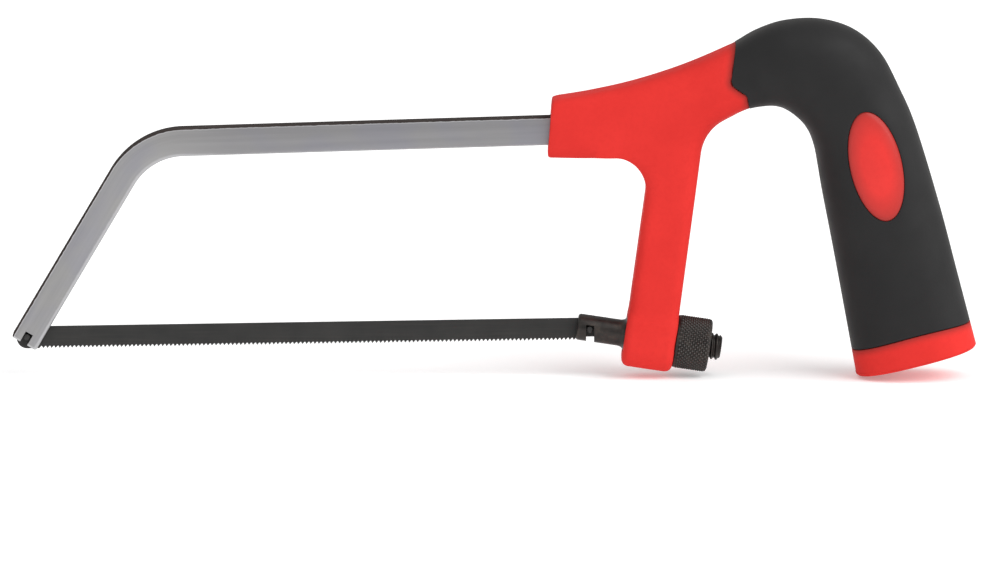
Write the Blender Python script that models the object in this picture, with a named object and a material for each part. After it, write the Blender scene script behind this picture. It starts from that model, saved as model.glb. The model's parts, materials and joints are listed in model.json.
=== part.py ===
"""Junior hacksaw: a bent steel bar in a two-shot moulded pistol grip, holding a 150 mm pin-end blade.

The saw stands in its working attitude. +X runs from the front of the saw to the grip, +Z is up, and
Y = 0 is its plane of symmetry. The origin is under the middle of its length, level with its lowest
point. Units are metres.
"""

import math

import bmesh
import bpy
from mathutils import Vector

GAP = 0.0003  # clearance between two solids that touch on the real saw
CUT_OVERSHOOT = 0.003  # how far a cutter runs past the wall that it cuts
CUT_HALF_WIDTH = 0.030  # half width of a cutter that goes right through the saw from side to side
MERGE_OVERLAP = 0.001  # how far two shapes of one solid run into each other
BORE_SIDES = 32
ROD_SIDES = 24
PIN_SIDES = 16

# Blade, measured from the line through its two pins
PIN_SPACING = 0.1449
BLADE_LENGTH = 0.1504
BLADE_THICKNESS = 0.00065
BLADE_BACK = 0.0025
BLADE_TIPS = 0.0029
TOOTH_DEPTH = 0.0005
TOOTH_PITCH = 0.00106
GULLET_AT = 0.65  # how far behind a tooth's tip its gullet is, as a share of the pitch
PLAIN_ENDS = 0.0062  # length without teeth at each end
BLADE_END_ROUNDING = 0.95  # its end radius, as a share of half its depth
BLADE_TILT = math.radians(0.8)
PIN_RADIUS = 0.0009
PIN_LENGTH = 0.0046
PIN_HOLE_CLEARANCE = 0.00008
REAR_PIN = Vector((0.0244, 0.0, 0.01195))

# Steel bar
BAR_DEPTH = 0.0070
BAR_THICKNESS = 0.0062
BAR_EDGE = 0.0005
BAR_CORNER = 0.0007
FRONT_SLOPE = math.radians(59.3)
ARM_SLOPE = math.radians(1.76)
ARM_HEIGHT = 0.06315  # centre line of the arm above the origin
BEND_RADIUS = 0.0188  # centre line of the bend
SLIT_WIDTH = 0.0010
FRONT_SLIT_DEPTH = 0.0080
FRONT_NOTCH_WIDTH = 0.0021
FRONT_NOTCH_DEPTH = 0.0031
FRONT_PIN_DEPTH = 0.0018
TANG_END = 0.0490
ANCHOR_AT = 0.0400
ANCHOR_RADIUS = 0.0019

# Tension bolt and nut, with distances along their axis from the rear pin
BOLT_TILT = math.radians(8.4)
ROD_RADIUS = 0.0033
ROD_FRONT = -0.0033
ROD_CHAMFER = 0.0004
FORK_SLIT_END = 0.0042
REAR_NOTCH_FRONT = -0.0010
REAR_NOTCH_WIDTH = 0.0024
REAR_NOTCH_ABOVE = 0.0011
FLARE_START = 0.0078
FLARE_MIDDLE_SWELL = 0.0003
SHANK_START = 0.0093
SHANK_HALF = 0.0043
SHANK_CORNER = 0.0009
SHANK_END = 0.0180
THREAD_RADIUS = 0.0034
THREAD_END = 0.0342
THREAD_CHAMFER = 0.0008
NUT_RADIUS = 0.0069
NUT_LENGTH = 0.0086
NUT_CHAMFER = 0.0007
NUT_BORE = 0.0036

# Moulded handle
LEG_CENTRE = 0.0158  # along the bolt's axis from the rear pin
LEG_WIDTH = 0.0130
LEG_LEAN = math.radians(7.8)
LEG_BELOW_AXIS = 0.0030
LEG_HALF_THICKNESS = 0.0067
LEG_EDGE = 0.0014
BOSS_HALF_HEIGHT = 0.0078
BOSS_HALF_THICKNESS = 0.0075
BOSS_SQUARENESS = 3.6
BOSS_LENGTH = 0.0132
BOSS_EDGE = 0.0018
BOSS_EDGE_STEPS = 3
BOSS_SIDES = 40
FRONT_FILLET = 0.0084
REAR_FILLET = 0.0140
REAR_WEB_CORNER = 0.0658  # height at which the leg's rear face would meet the arm's underside
WEB_INSIDE_ARM = ((0.0240, 0.0572), (0.0290, 0.0650), (0.0590, 0.0760), (0.0647, 0.0693))
SHANK_POCKET_START = 0.0050
SHANK_POCKET_END = 0.0184
SLEEVE_THICKNESS = 0.0026
CORE_WALL = 0.0028
SOCKET_LIP = 0.0006
CAP_LIP = 0.0008
RIM_ROUNDING = 0.3  # how much of a lip's width is gone half way round its edge

# Ribs across the arm and grip: upper point x and z, lower point x and z, half thickness in y, and squareness
RIBS = (
    (0.01465, 0.07195, 0.01345, 0.05680, 0.0074, 5.0),
    (0.02400, 0.07345, 0.02400, 0.05660, 0.0075, 5.0),
    (0.03560, 0.07610, 0.03500, 0.05700, 0.0077, 4.6),
    (0.04820, 0.08020, 0.05000, 0.06200, 0.0082, 4.0),
    (0.06000, 0.08530, 0.06250, 0.06830, 0.0094, 3.3),
    (0.06700, 0.08960, 0.06900, 0.06990, 0.0106, 2.8),
    (0.07440, 0.09220, 0.07360, 0.06950, 0.0116, 2.5),
    (0.08350, 0.09260, 0.07780, 0.06675, 0.0121, 2.4),
    (0.09210, 0.09000, 0.08050, 0.06350, 0.0123, 2.4),
    (0.09890, 0.08360, 0.08225, 0.05940, 0.0124, 2.4),
    (0.10380, 0.07460, 0.08330, 0.05440, 0.0125, 2.4),
    (0.10820, 0.06430, 0.08450, 0.04750, 0.0125, 2.4),
    (0.11430, 0.04440, 0.08710, 0.03400, 0.0125, 2.4),
    (0.11920, 0.02600, 0.09010, 0.01690, 0.0124, 2.4),
    (0.12410, 0.00750, 0.09320, -0.00030, 0.0122, 2.4),
)
RIB_SIDES = 28
RINGS_PER_RIB = 2
CORE_FROM_RIB = 3.3
HOLLOW_FROM_RIB = 8.6
PLUG_FROM_RIB = 13.0
PLUG_TO_RIB = 13.8

# Where the soft sleeve starts on the arm, from top to bottom
SLEEVE_FRONT = ((0.0616, 0.0970), (0.0612, 0.0771), (0.0645, 0.0732), (0.0657, 0.0660))
# Where the end cap meets the sleeve: from the grip's front edge to its rear edge, arched between
CAP_FRONT = (0.0921, 0.0069)
CAP_REAR = (0.1223, 0.0142)
CAP_ARCH = 0.0020
CAP_ARCH_SKEW = 1.6
CAP_JOINT_OVERRUN = 0.010  # how far the joint's line is drawn past the grip's two edges

# The side view's region round the handle
REGION_FRONT = 0.0
REGION_REAR = 0.150
REGION_LOW = -0.020
REGION_TOP = 0.097
REGION_UNDER_ARM = 0.040

BADGE_CENTRE = (0.0983, 0.0556)
BADGE_HALF_LENGTH = 0.0143
BADGE_HALF_WIDTH = 0.0069
BADGE_LEAN = math.radians(13)
BADGE_PROUD = 0.0003
BADGE_SIDES = 40
BADGE_BLOCK_MIDDLE = 0.012  # the badge is cut from a block from here to both sides in y
BADGE_BLOCK_HALF = 0.008


# ---------------------------------------------------------------- places worked out from the dimensions

BLADE_DIRECTION = Vector((math.cos(BLADE_TILT), 0, math.sin(BLADE_TILT)))
FRONT_PIN = REAR_PIN - PIN_SPACING * BLADE_DIRECTION
FRONT_DIRECTION = Vector((math.cos(FRONT_SLOPE), 0, math.sin(FRONT_SLOPE)))
BAR_END = FRONT_PIN - FRONT_PIN_DEPTH * FRONT_DIRECTION
BOLT_DIRECTION = Vector((math.cos(BOLT_TILT), 0, -math.sin(BOLT_TILT)))
ABOVE_BOLT = Vector((math.sin(BOLT_TILT), 0, math.cos(BOLT_TILT)))
NUT_START = LEG_CENTRE + LEG_WIDTH / 2 + GAP


def arm_point(x, above=0.0):
    """A point at this x on the bar's arm, at a distance above its centre line."""
    return Vector((x, 0, ARM_HEIGHT + x * math.tan(ARM_SLOPE) + above / math.cos(ARM_SLOPE)))


def bolt_point(along, above=0.0):
    """A point in the saw's plane, from the rear pin along the bolt's axis and then square to it."""
    return REAR_PIN + along * BOLT_DIRECTION + above * ABOVE_BOLT


def leg_point(along, height):
    """The point at this height on a line parallel to the leg, which crosses the bolt's axis at along."""
    start = bolt_point(along)
    return start + Vector((math.tan(LEG_LEAN), 0, 1)) * (height - start.z)


# ---------------------------------------------------------------- scene, materials and mesh helpers


def clear_scene():
    for obj in list(bpy.data.objects):
        bpy.data.objects.remove(obj, do_unlink=True)


def make_material(name, colour, roughness, metallic):
    material = bpy.data.materials.new(name)
    material.use_nodes = True
    material.diffuse_color = (*colour, 1)
    shader = material.node_tree.nodes["Principled BSDF"]
    shader.inputs["Base Color"].default_value = (*colour, 1)
    shader.inputs["Roughness"].default_value = roughness
    shader.inputs["Metallic"].default_value = metallic
    return material


def make_object(name, bm, material=None, smooth_under=35):
    """An object from a bmesh, which is freed. Without a material it is a hidden cutter or helper."""
    bmesh.ops.recalc_face_normals(bm, faces=bm.faces)
    mesh = bpy.data.meshes.new(name)
    bm.to_mesh(mesh)
    bm.free()
    mesh.shade_smooth()
    mesh.set_sharp_from_angle(angle=math.radians(smooth_under))
    obj = bpy.data.objects.new(name, mesh)
    bpy.context.scene.collection.objects.link(obj)
    if material:
        mesh.materials.append(material)
    else:
        obj.hide_render = True
        obj.display_type = "WIRE"
    return obj


def combine(obj, operation, other):
    """Adds a Boolean with another object: DIFFERENCE, UNION or INTERSECT."""
    modifier = obj.modifiers.new(f"{operation.lower()} {other.name}", "BOOLEAN")
    modifier.operation = operation
    modifier.object = other
    return obj


def bevel(obj, width, segments=2):
    modifier = obj.modifiers.new("edges", "BEVEL")
    modifier.width = width
    modifier.segments = segments
    modifier.limit_method = "ANGLE"
    modifier.angle_limit = math.radians(50)
    return obj


def rounded_outline(corners, step=math.radians(10)):
    """An outline in the saw's plane from corners of (point, radius). Each round stretch is an arc."""
    outline = []
    for i, (corner, radius) in enumerate(corners):
        if not radius:
            outline.append(corner)
            continue
        before = (corners[i - 1][0] - corner).normalized()
        after = (corners[(i + 1) % len(corners)][0] - corner).normalized()
        half = before.angle(after) / 2
        centre = corner + (before + after).normalized() * radius / math.sin(half)
        start = corner + before * radius / math.tan(half) - centre
        end = corner + after * radius / math.tan(half) - centre
        turn = start.angle(end)
        count = max(2, round(turn / step))
        for k in range(count + 1):
            t = turn * k / count
            outline.append(centre + (start * math.sin(turn - t) + end * math.sin(t)) / math.sin(turn))
    return outline


def prism(outline, half_width, middle=0.0):
    """A closed bmesh: an outline in the saw's plane, extruded to both sides along Y."""
    bm = bmesh.new()
    near = [bm.verts.new((p.x, middle - half_width, p.z)) for p in outline]
    far = [bm.verts.new((p.x, middle + half_width, p.z)) for p in outline]
    bm.faces.new(near)
    bm.faces.new(reversed(far))
    for i in range(len(outline)):
        j = (i + 1) % len(outline)
        bm.faces.new((near[i], far[i], far[j], near[j]))
    return bm


def skin(rings):
    """A closed bmesh through rings of equally many points, with flat ends."""
    bm = bmesh.new()
    loops = [[bm.verts.new(point) for point in ring] for ring in rings]
    for first, second in zip(loops, loops[1:]):
        for i in range(len(first)):
            j = (i + 1) % len(first)
            bm.faces.new((first[i], first[j], second[j], second[i]))
    bm.faces.new(loops[0])
    bm.faces.new(reversed(loops[-1]))
    return bm


def round_bar(profile, sides):
    """A closed bmesh turned about the local X axis, from a profile of (x, radius)."""
    return skin([
        [
            Vector((x, radius * math.cos(math.tau * i / sides), radius * math.sin(math.tau * i / sides)))
            for i in range(sides)
        ]
        for x, radius in profile
    ])


def cross_cylinder(centre, radius, half_length, sides=PIN_SIDES):
    """A closed bmesh: a cylinder along Y."""
    outline = [
        centre + radius * Vector((math.cos(math.tau * i / sides), 0, math.sin(math.tau * i / sides)))
        for i in range(sides)
    ]
    return prism(outline, half_length)


def place_on_bolt_axis(obj):
    """Puts an object made about local X on the bolt's axis, with its origin at the rear pin."""
    obj.location = REAR_PIN
    obj.rotation_euler = (0, BOLT_TILT, 0)
    return obj


# ---------------------------------------------------------------- the handle's lofted shape


def rib_at(u):
    """The rib at this place along the handle, on a Catmull-Rom curve through the ribs."""
    i = min(int(u), len(RIBS) - 2)
    t = u - i
    p0, p1, p2, p3 = (RIBS[max(0, min(len(RIBS) - 1, k))] for k in (i - 1, i, i + 1, i + 2))
    return [
        b + 0.5 * t * (c - a + t * (2 * a - 5 * b + 4 * c - d + t * (3 * (b - c) + d - a)))
        for a, b, c, d in zip(p0, p1, p2, p3)
    ]


def squared_circle(angle, squareness):
    """A point at this angle on a circle that is drawn out towards its square: 2 leaves it round."""
    side, up = math.cos(angle), math.sin(angle)
    return math.copysign(abs(side) ** (2 / squareness), side), math.copysign(abs(up) ** (2 / squareness), up)


def rib_ring(u, inset=0.0, shift=0.0):
    """The handle's section at u, shrunk all round by inset and moved along the handle by shift."""
    top_x, top_z, low_x, low_z, half_width, squareness = rib_at(u)
    top = Vector((top_x, 0, top_z))
    low = Vector((low_x, 0, low_z))
    across = (top - low).normalized()
    along = Vector((across.z, 0, -across.x))
    centre = (top + low) / 2 + along * shift
    half_depth = (top - low).length / 2 - inset
    ring = []
    for i in range(RIB_SIDES):
        side, up = squared_circle(math.tau * (i + 0.5) / RIB_SIDES, squareness)
        ring.append(centre + across * up * half_depth + Vector((0, side * (half_width - inset), 0)))
    return ring


def handle_rings(start, end, inset):
    count = max(2, round((end - start) * RINGS_PER_RIB))
    return [rib_ring(start + (end - start) * k / count, inset) for k in range(count + 1)]


def whole_handle(name, material=None):
    """The arm and grip as one outer shape, with rounded rims at the socket and at the grip's end."""
    last = len(RIBS) - 1
    rings = handle_rings(0, last, 0.0)
    # Each rim starts a lip's width inside its end, then rolls in to it.
    rings[0] = rib_ring(0, 0.0, SOCKET_LIP)
    rings[-1] = rib_ring(last, 0.0, -CAP_LIP)
    rings.insert(0, rib_ring(0, SOCKET_LIP * RIM_ROUNDING, SOCKET_LIP * RIM_ROUNDING))
    rings.insert(0, rib_ring(0, SOCKET_LIP, 0.0))
    rings.append(rib_ring(last, CAP_LIP * RIM_ROUNDING, -CAP_LIP * RIM_ROUNDING))
    rings.append(rib_ring(last, CAP_LIP, 0.0))
    return make_object(name, skin(rings), material)


def handle_loft(name, start, end, inset, shift=0.0):
    """A hidden helper: a stretch of the handle's shape, shrunk by inset. Shift adds a ring past its end."""
    rings = handle_rings(start, end, inset)
    if shift:
        rings.append(rib_ring(end, inset, shift))
    return make_object(name, skin(rings))


def side_zone(name, points):
    """A hidden prism over a region of the side view, wider than the handle is thick."""
    return make_object(name, prism([Vector((x, 0, z)) for x, z in points], CUT_HALF_WIDTH))


def cap_joint(raise_by=0.0, count=12):
    """Points along the joint of cap and sleeve, past the grip on both sides."""
    (x0, z0), (x1, z1) = CAP_FRONT, CAP_REAR
    slope = (z1 - z0) / (x1 - x0)
    points = [(x0 - CAP_JOINT_OVERRUN, z0 - CAP_JOINT_OVERRUN * slope + raise_by)]
    for k in range(count + 1):
        t = k / count
        rise = CAP_ARCH * math.sin(math.pi * t**CAP_ARCH_SKEW)
        points.append((x0 + t * (x1 - x0), z0 + t * (z1 - z0) + rise + raise_by))
    points.append((x1 + CAP_JOINT_OVERRUN, z1 + CAP_JOINT_OVERRUN * slope + raise_by))
    return points


def cap_zone(name, raise_by=0.0):
    """Everything below the joint of cap and sleeve."""
    joint = cap_joint(raise_by)
    return side_zone(name, [*joint, (joint[-1][0], REGION_LOW), (joint[0][0], REGION_LOW)])


def badge_outline(grow=0.0):
    centre = Vector((BADGE_CENTRE[0], 0, BADGE_CENTRE[1]))
    long_way = Vector((-math.sin(BADGE_LEAN), 0, math.cos(BADGE_LEAN)))
    short_way = Vector((math.cos(BADGE_LEAN), 0, math.sin(BADGE_LEAN)))
    outline = []
    for i in range(BADGE_SIDES):
        angle = math.tau * i / BADGE_SIDES
        reach = long_way * math.cos(angle) * (BADGE_HALF_LENGTH + grow)
        outline.append(centre + reach + short_way * math.sin(angle) * (BADGE_HALF_WIDTH + grow))
    return outline


# ---------------------------------------------------------------- sub-parts


def make_bar(steel):
    """The bent bar: front leg, bend, arm, and the tang inside the socket."""
    along = FRONT_DIRECTION
    square = Vector((-along.z, 0, along.x))
    half = BAR_DEPTH / 2
    # The two centre lines meet at the bend's corner.
    climb = math.tan(FRONT_SLOPE) - math.tan(ARM_SLOPE)
    corner_x = (ARM_HEIGHT - BAR_END.z + BAR_END.x * math.tan(FRONT_SLOPE)) / climb
    outer_step = half * math.tan((FRONT_SLOPE - ARM_SLOPE) / 2)
    corner = arm_point(corner_x)
    outer = corner + square * half + along * outer_step
    inner = corner - square * half - along * outer_step
    bar = make_object(
        "frame_bar",
        prism(
            rounded_outline([
                (BAR_END + square * half, BAR_CORNER),
                (outer, BEND_RADIUS + half),
                (arm_point(TANG_END, half), 0),
                (arm_point(TANG_END, -half), 0),
                (inner, BEND_RADIUS - half),
                (BAR_END - square * half, BAR_CORNER),
            ], math.radians(5)),
            BAR_THICKNESS / 2,
        ),
        steel,
    )
    bevel(bar, BAR_EDGE)
    below = BAR_END - along * CUT_OVERSHOOT
    cuts = (
        ("bar_slit_cutter", FRONT_SLIT_DEPTH, BAR_DEPTH, SLIT_WIDTH / 2),
        ("bar_notch_cutter", FRONT_NOTCH_DEPTH, FRONT_NOTCH_WIDTH / 2, BAR_THICKNESS),
    )
    for name, depth, half_across, half_width in cuts:
        top = BAR_END + along * depth
        across = square * half_across
        outline = [below + across, top + across, top - across, below - across]
        combine(bar, "DIFFERENCE", make_object(name, prism(outline, half_width)))
    anchor = cross_cylinder(arm_point(ANCHOR_AT), ANCHOR_RADIUS + GAP, BAR_THICKNESS)
    combine(bar, "DIFFERENCE", make_object("bar_anchor_cutter", anchor))
    return bar


def tang_pocket():
    """The socket's pocket round the tang. The moulding's anchor stays standing in it."""
    half = BAR_DEPTH / 2 + GAP
    mouth = RIBS[0][2] - CUT_OVERSHOOT
    pocket = make_object(
        "tang_pocket_cutter",
        prism([
            arm_point(mouth, half),
            arm_point(TANG_END + GAP, half),
            arm_point(TANG_END + GAP, -half),
            arm_point(mouth, -half),
        ], BAR_THICKNESS / 2 + GAP),
    )
    anchor = cross_cylinder(arm_point(ANCHOR_AT), ANCHOR_RADIUS, BAR_THICKNESS)
    return combine(pocket, "DIFFERENCE", make_object("anchor_keeper", anchor))


def leg_solid():
    """The rear leg with its two webs into the arm."""
    front = LEG_CENTRE - LEG_WIDTH / 2
    rear = LEG_CENTRE + LEG_WIDTH / 2
    leg = make_object(
        "leg_helper",
        prism(
            rounded_outline([
                (bolt_point(front, -LEG_BELOW_AXIS), 0),
                (leg_point(front, RIBS[1][3]), FRONT_FILLET),
                *((Vector((x, 0, z)), 0) for x, z in WEB_INSIDE_ARM),
                (leg_point(rear, REAR_WEB_CORNER), REAR_FILLET),
                (bolt_point(rear, -LEG_BELOW_AXIS), 0),
            ]),
            LEG_HALF_THICKNESS,
        ),
    )
    bevel(leg, LEG_EDGE, 3)
    return leg


def boss_ring(x, inset):
    """The boss's section across the bolt, a round-cornered square, shrunk all round by inset."""
    ring = []
    for i in range(BOSS_SIDES):
        side, up = squared_circle(math.tau * (i + 0.5) / BOSS_SIDES, BOSS_SQUARENESS)
        ring.append(Vector((x, side * (BOSS_HALF_THICKNESS - inset), up * (BOSS_HALF_HEIGHT - inset))))
    return ring


def boss_solid():
    """The thicker foot of the leg, round the bolt, with its two rims rounded over."""
    front = LEG_CENTRE - BOSS_LENGTH / 2
    rear = LEG_CENTRE + BOSS_LENGTH / 2
    front_rings = []
    rear_rings = []
    for k in range(BOSS_EDGE_STEPS + 1):
        turn = math.pi / 2 * k / BOSS_EDGE_STEPS
        inset = BOSS_EDGE * (1 - math.sin(turn))
        step = BOSS_EDGE * (1 - math.cos(turn))
        front_rings.append(boss_ring(front + step, inset))
        rear_rings.insert(0, boss_ring(rear - step, inset))
    return place_on_bolt_axis(make_object("boss_helper", skin(front_rings + rear_rings)))


def make_handle_core(red):
    """The red moulding: socket, arm, leg, and the hollow core under the sleeve."""
    last = len(RIBS) - 1
    core = whole_handle("handle_core", red)
    low_x = SLEEVE_FRONT[-1][0]
    behind = [*SLEEVE_FRONT, (low_x, REGION_LOW), (REGION_REAR, REGION_LOW), (REGION_REAR, REGION_TOP)]
    combine(core, "DIFFERENCE", side_zone("behind_arm_cutter", behind))
    combine(core, "UNION", handle_loft("core_helper", CORE_FROM_RIB, last, SLEEVE_THICKNESS))
    combine(core, "DIFFERENCE", cap_zone("core_end_cutter", GAP))
    combine(core, "UNION", leg_solid())
    combine(core, "UNION", boss_solid())
    inset = SLEEVE_THICKNESS + CORE_WALL
    hollow = handle_loft("core_hollow_cutter", HOLLOW_FROM_RIB, last, inset, CUT_OVERSHOOT)
    combine(core, "DIFFERENCE", hollow)
    combine(core, "DIFFERENCE", tang_pocket())
    combine(core, "DIFFERENCE", shank_pocket())
    radius = THREAD_RADIUS + 2 * GAP
    bore = round_bar([(SHANK_POCKET_END - MERGE_OVERLAP, radius), (THREAD_END, radius)], BORE_SIDES)
    combine(core, "DIFFERENCE", place_on_bolt_axis(make_object("leg_bore_cutter", bore)))
    return core


def square_ring(x, half):
    """Eight points of the shank's square with its cut corners, across the local X axis."""
    flat = half - SHANK_CORNER
    return [
        Vector((x, y, z))
        for y, z in (
            (half, -flat), (half, flat), (flat, half), (-flat, half),
            (-half, flat), (-half, -flat), (-flat, -half), (flat, -half),
        )
    ]


def shank_pocket():
    """The square hole in the leg that keeps the bolt from turning."""
    grown = SHANK_HALF + GAP
    rings = [square_ring(SHANK_POCKET_START, grown), square_ring(SHANK_POCKET_END, grown)]
    return place_on_bolt_axis(make_object("shank_pocket_cutter", skin(rings)))


def make_sleeve(rubber):
    """The soft over-mould: a skin round the core with an oval window on each side."""
    sleeve = whole_handle("grip_sleeve", rubber)
    edge = [(x + GAP, z) for x, z in SLEEVE_FRONT]
    under_arm = [(edge[-1][0], REGION_UNDER_ARM), (REGION_FRONT, REGION_UNDER_ARM)]
    front = [*edge, *under_arm, (REGION_FRONT, REGION_TOP)]
    combine(sleeve, "DIFFERENCE", side_zone("before_sleeve_cutter", front))
    combine(sleeve, "DIFFERENCE", cap_zone("sleeve_end_cutter", GAP))
    last = len(RIBS) - 1
    inset = SLEEVE_THICKNESS - GAP
    inside = handle_loft("sleeve_inside_cutter", CORE_FROM_RIB, last, inset, CUT_OVERSHOOT)
    combine(sleeve, "DIFFERENCE", inside)
    window = make_object("window_cutter", prism(badge_outline(GAP), CUT_HALF_WIDTH))
    return combine(sleeve, "DIFFERENCE", window)


def make_end_cap(red):
    """The closing piece of the grip, with a plug that goes up into the core's hollow."""
    cap = whole_handle("end_cap", red)
    combine(cap, "INTERSECT", cap_zone("cap_keeper"))
    inset = SLEEVE_THICKNESS + CORE_WALL + GAP
    return combine(cap, "UNION", handle_loft("cap_plug_helper", PLUG_FROM_RIB, PLUG_TO_RIB, inset))


def make_badges(red):
    """A plain domed oval in each window."""
    last = len(RIBS) - 1
    outside = make_object("badge_outside_helper", skin(handle_rings(CORE_FROM_RIB, last, -BADGE_PROUD)))
    inside = handle_loft("badge_inside_cutter", CORE_FROM_RIB, last, SLEEVE_THICKNESS - GAP)
    for name, side in (("badge_left", -1), ("badge_right", 1)):
        block = prism(badge_outline(), BADGE_BLOCK_HALF, side * BADGE_BLOCK_MIDDLE)
        badge = make_object(name, block, red)
        combine(badge, "INTERSECT", outside)
        combine(badge, "DIFFERENCE", inside)


def make_blade(steel):
    """The blade about its rear pin, which is its pivot. The teeth are cut up into its lower edge."""
    end = (BLADE_LENGTH - PIN_SPACING) / 2
    radius = (BLADE_BACK + BLADE_TIPS) / 2 * BLADE_END_ROUNDING
    front = -PIN_SPACING - end
    corners = ((end, BLADE_BACK), (front, BLADE_BACK), (front, -BLADE_TIPS), (end, -BLADE_TIPS))
    outline = rounded_outline([(Vector((x, 0, z)), radius) for x, z in corners], math.radians(15))
    # The teeth go between the front end's last arc and the rear end's first, running rearwards.
    arc = len(outline) // 4
    count = int((BLADE_LENGTH - 2 * PLAIN_ENDS) / TOOTH_PITCH)
    teeth = []
    for i in range(count):
        tip = front + PLAIN_ENDS + i * TOOTH_PITCH
        teeth.append(Vector((tip, 0, -BLADE_TIPS)))
        teeth.append(Vector((tip + GULLET_AT * TOOTH_PITCH, 0, TOOTH_DEPTH - BLADE_TIPS)))
    teeth.append(Vector((front + PLAIN_ENDS + count * TOOTH_PITCH, 0, -BLADE_TIPS)))
    outline = outline[: 3 * arc] + teeth + outline[3 * arc :]
    blade = make_object("saw_blade", prism(outline, BLADE_THICKNESS / 2), steel)
    blade.location = REAR_PIN
    blade.rotation_euler = (0, -BLADE_TILT, 0)
    for name, pin in (("front", FRONT_PIN), ("rear", REAR_PIN)):
        hole = cross_cylinder(pin, PIN_RADIUS + PIN_HOLE_CLEARANCE, BLADE_THICKNESS)
        combine(blade, "DIFFERENCE", make_object(f"{name}_pin_hole_cutter", hole))
    return blade


def make_pins(steel):
    for name, pin in (("blade_pin_front", FRONT_PIN), ("blade_pin_rear", REAR_PIN)):
        obj = make_object(name, cross_cylinder(Vector(), PIN_RADIUS, PIN_LENGTH / 2), steel)
        obj.location = pin


def make_bolt(steel):
    """The tension bolt: forked holder, flare, square shank, and the threaded end as a plain bar."""
    holder = round_bar([
        (ROD_FRONT, ROD_RADIUS - ROD_CHAMFER),
        (ROD_FRONT + ROD_CHAMFER, ROD_RADIUS),
        (FLARE_START, ROD_RADIUS),
        ((FLARE_START + SHANK_START) / 2, ROD_RADIUS + FLARE_MIDDLE_SWELL),
        (SHANK_START, SHANK_HALF),
        (SHANK_START + MERGE_OVERLAP, SHANK_HALF),
    ], ROD_SIDES)
    bolt = place_on_bolt_axis(make_object("tension_bolt", holder, steel))
    shank = skin([square_ring(SHANK_START, SHANK_HALF), square_ring(SHANK_END, SHANK_HALF)])
    thread = round_bar([
        (SHANK_END - MERGE_OVERLAP, THREAD_RADIUS),
        (THREAD_END - THREAD_CHAMFER, THREAD_RADIUS),
        (THREAD_END, THREAD_RADIUS - THREAD_CHAMFER),
    ], ROD_SIDES)
    combine(bolt, "UNION", place_on_bolt_axis(make_object("shank_helper", shank)))
    combine(bolt, "UNION", place_on_bolt_axis(make_object("thread_helper", thread)))
    reach = 2 * ROD_RADIUS
    cuts = (
        ("fork_slit_cutter", ROD_FRONT - CUT_OVERSHOOT, FORK_SLIT_END, reach, SLIT_WIDTH / 2),
        ("fork_notch_cutter", REAR_NOTCH_FRONT, REAR_NOTCH_FRONT + REAR_NOTCH_WIDTH, REAR_NOTCH_ABOVE, reach),
    )
    for name, front, rear, top, half_width in cuts:
        corners = ((front, -reach), (rear, -reach), (rear, top), (front, top))
        cutter = make_object(name, prism([Vector((x, 0, z)) for x, z in corners], half_width))
        combine(bolt, "DIFFERENCE", place_on_bolt_axis(cutter))
    return bolt


def make_nut(steel):
    """The round nut, whose knurl is a fine surface and is left plain here."""
    start, end = NUT_START, NUT_START + NUT_LENGTH
    body = round_bar([
        (start, NUT_RADIUS - NUT_CHAMFER),
        (start + NUT_CHAMFER, NUT_RADIUS),
        (end - NUT_CHAMFER, NUT_RADIUS),
        (end, NUT_RADIUS - NUT_CHAMFER),
    ], BORE_SIDES)
    nut = place_on_bolt_axis(make_object("tension_nut", body, steel))
    bore = round_bar([(start - CUT_OVERSHOOT, NUT_BORE), (end + CUT_OVERSHOOT, NUT_BORE)], BORE_SIDES)
    return combine(nut, "DIFFERENCE", place_on_bolt_axis(make_object("nut_bore_cutter", bore)))


def main():
    clear_scene()
    nickel = make_material("brushed nickel steel", (0.33, 0.33, 0.35), 0.35, 1.0)
    red = make_material("red moulding", (0.80, 0.045, 0.035), 0.4, 0.0)
    rubber = make_material("black soft moulding", (0.035, 0.034, 0.034), 0.75, 0.0)
    black_oxide = make_material("black oxide steel", (0.045, 0.042, 0.040), 0.5, 0.8)
    blade_steel = make_material("blade steel", (0.035, 0.036, 0.037), 0.55, 0.6)
    pin_steel = make_material("pin steel", (0.10, 0.10, 0.10), 0.4, 0.9)
    make_bar(nickel)
    make_handle_core(red)
    make_sleeve(rubber)
    make_end_cap(red)
    make_badges(red)
    make_blade(blade_steel)
    make_pins(pin_steel)
    make_bolt(black_oxide)
    make_nut(black_oxide)


main()
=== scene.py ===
"""Looks of a junior hacksaw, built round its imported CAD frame.

Every visible piece is a finer model of one CAD node, in the same frame: metres, +X from the front of the
saw to its grip, +Z up, and Y = 0 in the middle of the saw's thickness.
"""

import json
import math

import bmesh
import bpy
import numpy as np
from mathutils import Matrix, Vector
from mathutils.bvhtree import BVHTree


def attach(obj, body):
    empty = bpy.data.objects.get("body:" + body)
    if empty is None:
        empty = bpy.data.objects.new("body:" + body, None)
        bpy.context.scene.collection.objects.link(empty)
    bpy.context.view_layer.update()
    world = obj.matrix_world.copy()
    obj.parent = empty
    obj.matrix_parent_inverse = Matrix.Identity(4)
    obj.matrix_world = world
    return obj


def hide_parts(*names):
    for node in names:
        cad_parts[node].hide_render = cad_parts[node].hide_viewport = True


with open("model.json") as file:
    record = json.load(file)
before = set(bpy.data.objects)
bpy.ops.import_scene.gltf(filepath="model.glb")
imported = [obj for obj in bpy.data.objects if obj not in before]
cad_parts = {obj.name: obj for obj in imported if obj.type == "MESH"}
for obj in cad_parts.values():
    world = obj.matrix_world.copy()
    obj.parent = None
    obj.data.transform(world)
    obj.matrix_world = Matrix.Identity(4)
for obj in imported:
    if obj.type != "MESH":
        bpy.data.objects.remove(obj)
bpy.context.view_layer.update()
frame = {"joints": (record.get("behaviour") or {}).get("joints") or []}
JOINTS = {joint["name"]: joint for joint in frame["joints"]}

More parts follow.
